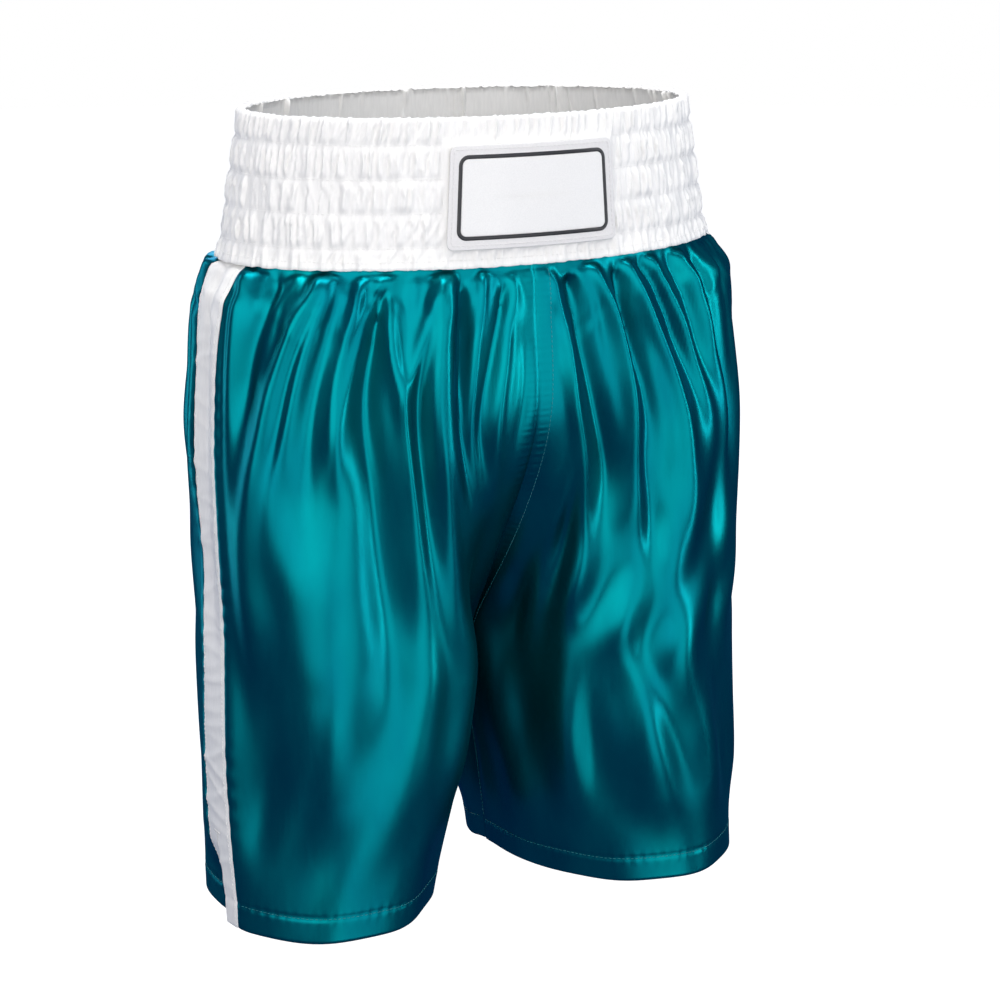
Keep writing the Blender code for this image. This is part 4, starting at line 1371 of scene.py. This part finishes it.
class SHORTS_OT_stripes(Operator):
    """Cut the side stripes with their vents"""

    bl_idname = "shorts.stripes"
    bl_label = "Side stripes"

    def execute(self, context):
        satin, legs = white_satin(), context.scene.shorts_legs
        for side in SIDES:
            half = half_of(side)
            points, normals = half.points[:, half.stripe], half.normals[:, half.stripe]
            cells = np.ones((PANEL_ROWS - 1, STRIPE_COLUMNS), bool)
            open_rows = half.depths[1:] > OUTSEAM - VENT_HEIGHT
            cells[open_rows, STRIPE_COLUMNS // 2 - 1] = False
            thickness = half.thickness(legs.cloth)
            piece = cloth(f"{side}_stripe_satin", points, normals, thickness, satin, side, cells=cells)
            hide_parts(f"{side}_side_stripe")
            follow_leg(piece)
        return {"FINISHED"}


class SHORTS_OT_leg_stitching(Operator):
    """Sew the hems, inseams, rises, stripes and vents"""

    bl_idname = "shorts.leg_stitching"
    bl_label = "Leg stitching"

    def execute(self, context):
        teal = sewing_thread("teal_thread", tuple(context.scene.shorts_colours.teal_thread))
        white = sewing_thread("white_thread", tuple(context.scene.shorts_colours.white))
        line = OUTSEAM - HEM_DEPTH
        for side in SIDES:
            half = half_of(side)
            last = half.turns[-1]
            for part, columns in (("front", half.front), ("back", half.back)):
                route = [(turn, line) for turn in np.linspace(last[columns][2], last[columns][-3], 260)]
                self.sew(f"{side}_hem_stitching_{part}", route, half, teal, "teal_thread")
            depths = np.linspace(CROTCH_DEPTH + 0.012, line - 0.003, 160)
            inseam = [(EDGE_STITCH_INSET / 0.56, depth) for depth in depths]
            self.sew(f"{side}_inseam_stitching", inseam, half, teal, "teal_thread")
            for part, column in (("front", half.stripe.start), ("back", half.stripe.stop - 1)):
                sign = 1 if part == "front" else -1
                route = []
                for depth in np.linspace(BAND_HEIGHT + 0.003, OUTSEAM - 0.003, 330):
                    edge = np.interp(depth, half.depths, half.turns[:, column])
                    girth = np.interp(depth, half.depths, half.girths)
                    route.append((edge + sign * EDGE_STITCH_INSET / girth, depth))
                self.sew(f"{side}_stripe_topstitching_{part}", route, half, white, "white_thread")
            self.bar_tack(side, half, white)
        half = half_of("left")
        for part in ("front", "back"):
            route = []
            for depth in np.linspace(BAND_HEIGHT + 0.004, CROTCH_DEPTH - 0.004, 260):
                inset = RISE_STITCH_INSET / np.interp(depth, half.depths, half.girths)
                route.append((inset if part == "front" else 1 - inset, depth))
            self.sew(f"{part}_rise_topstitching", route, half, teal, "teal_thread", body="root")
        return {"FINISHED"}

    def sew(self, node, route, half, finish, slot, body=None):
        """One row of stitches through (turn, depth) points on the cloth."""
        settings = bpy.context.scene.shorts_stitches
        found = [half.at(turn, depth) for turn, depth in route]
        path, up = mirror_path([point for point, _ in found], [normal for _, normal in found], half.side)
        name = node.replace("stitching", "stitches")
        piece = stitches(name, path, up, finish, settings.length, settings.gap, settings.radius)
        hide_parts(node)
        if body:
            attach(piece, body)
        else:
            follow_leg(piece)

    def bar_tack(self, side, half, finish):
        """The dense zigzag that closes the top of a vent."""
        depth = OUTSEAM - VENT_HEIGHT
        girth = np.interp(depth, half.depths, half.girths)
        row = int(np.searchsorted(half.depths, depth))
        centre = half.turns[row, half.stripe].mean()
        route = []
        for step in range(BARTACK_STEPS + 1):
            across = (step / BARTACK_STEPS - 0.5) * BARTACK_WIDTH
            route.append((centre + across / girth, depth - 0.001 + BARTACK_RISE * (step % 2 - 0.5)))
        found = [half.at(turn, deep) for turn, deep in route]
        path, up = mirror_path([point for point, _ in found], [normal for _, normal in found], side)
        name = f"{side}_vent_bartack_stitches"
        piece = stitches(name, path, up, finish, BARTACK_STITCH, 0.0, BARTACK_THREAD)
        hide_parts(f"{side}_vent_bartack")
        follow_leg(piece)


# ---------------------------------------------------------------- stage


def round_backdrop(paint):
    """A wide white wall all round, drawn from a turned profile."""
    steps, profile = 48, [(STAGE_REACH, -1.0), (STAGE_REACH, 2.0), (0.8 * STAGE_REACH, 4.0), (0.01, 5.0)]
    points = [
        (reach * math.cos(2 * math.pi * step / steps), reach * math.sin(2 * math.pi * step / steps), level)
        for reach, level in profile
        for step in range(steps)
    ]
    faces = []
    for row in range(len(profile) - 1):
        for step in range(steps):
            a, b = row * steps + step, row * steps + (step + 1) % steps
            faces.append((a, b, b + steps, a + steps))
    return add_piece("backdrop", points, faces, paint)


def area_light(name, place, aim, size, power, colour):
    """A rectangular softbox turned towards a point."""
    data = bpy.data.lights.new(name, "AREA")
    data.shape = "RECTANGLE"
    data.size, data.size_y = size
    data.energy = power
    data.color = colour
    lamp = bpy.data.objects.new(name, data)
    lamp.location = place
    lamp.rotation_euler = (Vector(aim) - Vector(place)).to_track_quat("-Z", "Y").to_euler()
    bpy.context.scene.collection.objects.link(lamp)
    return lamp


class SHORTS_OT_stage(Operator):
    """Set up the floor, the backdrop, the lights and the camera"""

    bl_idname = "shorts.stage"
    bl_label = "Stage"

    def execute(self, context):
        settings = context.scene.shorts_stage
        scene = context.scene
        scene.view_settings.view_transform = "Standard"
        floor_level = CAD_BOX[0][2] - settings.floor_drop
        paint = glowing_paint("pale_paint", (0.20, 0.20, 0.20), settings.floor_glow)
        ways = (-1, -1), (1, -1), (1, 1), (-1, 1)
        corners = [(x * STAGE_REACH, y * STAGE_REACH, floor_level) for x, y in ways]
        floor = add_piece("floor", corners, [(0, 1, 2, 3)], paint)
        backdrop = round_backdrop(glowing_paint("backdrop_paint", (0.0, 0.0, 0.0), 1.0))
        backdrop.visible_shadow = backdrop.visible_transmission = False
        for piece in (floor, backdrop):
            piece.visible_glossy = piece.visible_diffuse = False
        world = bpy.data.worlds.new("dim_room")
        world.use_nodes = True
        room = world.node_tree.nodes["Background"]
        room.inputs["Color"].default_value = (*settings.room_colour, 1.0)
        room.inputs["Strength"].default_value = settings.room_light
        scene.world = world
        middle = (0.0, 0.0, -OUTSEAM / 2)
        for name, place, size, power, colour in SOFTBOXES:
            area_light(name, place, middle, size, getattr(settings, power), colour)
        data = bpy.data.cameras.new("camera")
        data.lens, data.sensor_width = settings.lens, 36.0
        data.clip_start, data.clip_end = 0.05, 30.0
        camera = bpy.data.objects.new("camera", data)
        camera.location = settings.eye
        camera.rotation_euler = (math.pi / 2 + settings.pitch, 0.0, settings.azimuth)
        scene.collection.objects.link(camera)
        scene.camera = camera
        return {"FINISHED"}


# ---------------------------------------------------------------- panel, registration and run


class SHORTS_PT_sewing(Panel):
    """Lists the steps in sewing order"""

    bl_idname = "SHORTS_PT_sewing"
    bl_label = "Boxing Shorts"
    bl_space_type = "VIEW_3D"
    bl_region_type = "UI"
    bl_category = "Boxing Shorts"

    def draw(self, context):
        for step in STEPS:
            self.layout.operator(step.bl_idname)
        for name in SETTINGS:
            group = getattr(context.scene, name)
            box = self.layout.box()
            for field in group.bl_rna.properties:
                if field.identifier not in {"name", "rna_type"}:
                    box.prop(group, field.identifier)


STEPS = (
    SHORTS_OT_stage, SHORTS_OT_waistband, SHORTS_OT_band_stitching, SHORTS_OT_patch, SHORTS_OT_panels,
    SHORTS_OT_stripes, SHORTS_OT_leg_stitching,
)
SETTINGS = {
    "shorts_waistband": WaistbandSettings,
    "shorts_legs": LegSettings,
    "shorts_stitches": StitchSettings,
    "shorts_patch": PatchSettings,
    "shorts_colours": ColourSettings,
    "shorts_stage": StageSettings,
}


def register():
    """Adds the settings to the scene, and the steps and the panel to Blender."""
    for made in (*SETTINGS.values(), *STEPS, SHORTS_PT_sewing):
        bpy.utils.register_class(made)
    for name, group in SETTINGS.items():
        setattr(bpy.types.Scene, name, PointerProperty(type=group))


def unregister():
    """Takes away what register adds."""
    for name in SETTINGS:
        delattr(bpy.types.Scene, name)
    for made in reversed((*SETTINGS.values(), *STEPS, SHORTS_PT_sewing)):
        bpy.utils.unregister_class(made)


def main():
    """Sews the shorts."""
    register()
    for step in STEPS:
        group, action = step.bl_idname.split(".")
        getattr(getattr(bpy.ops, group), action)()


if __name__ == "__main__":
    main()
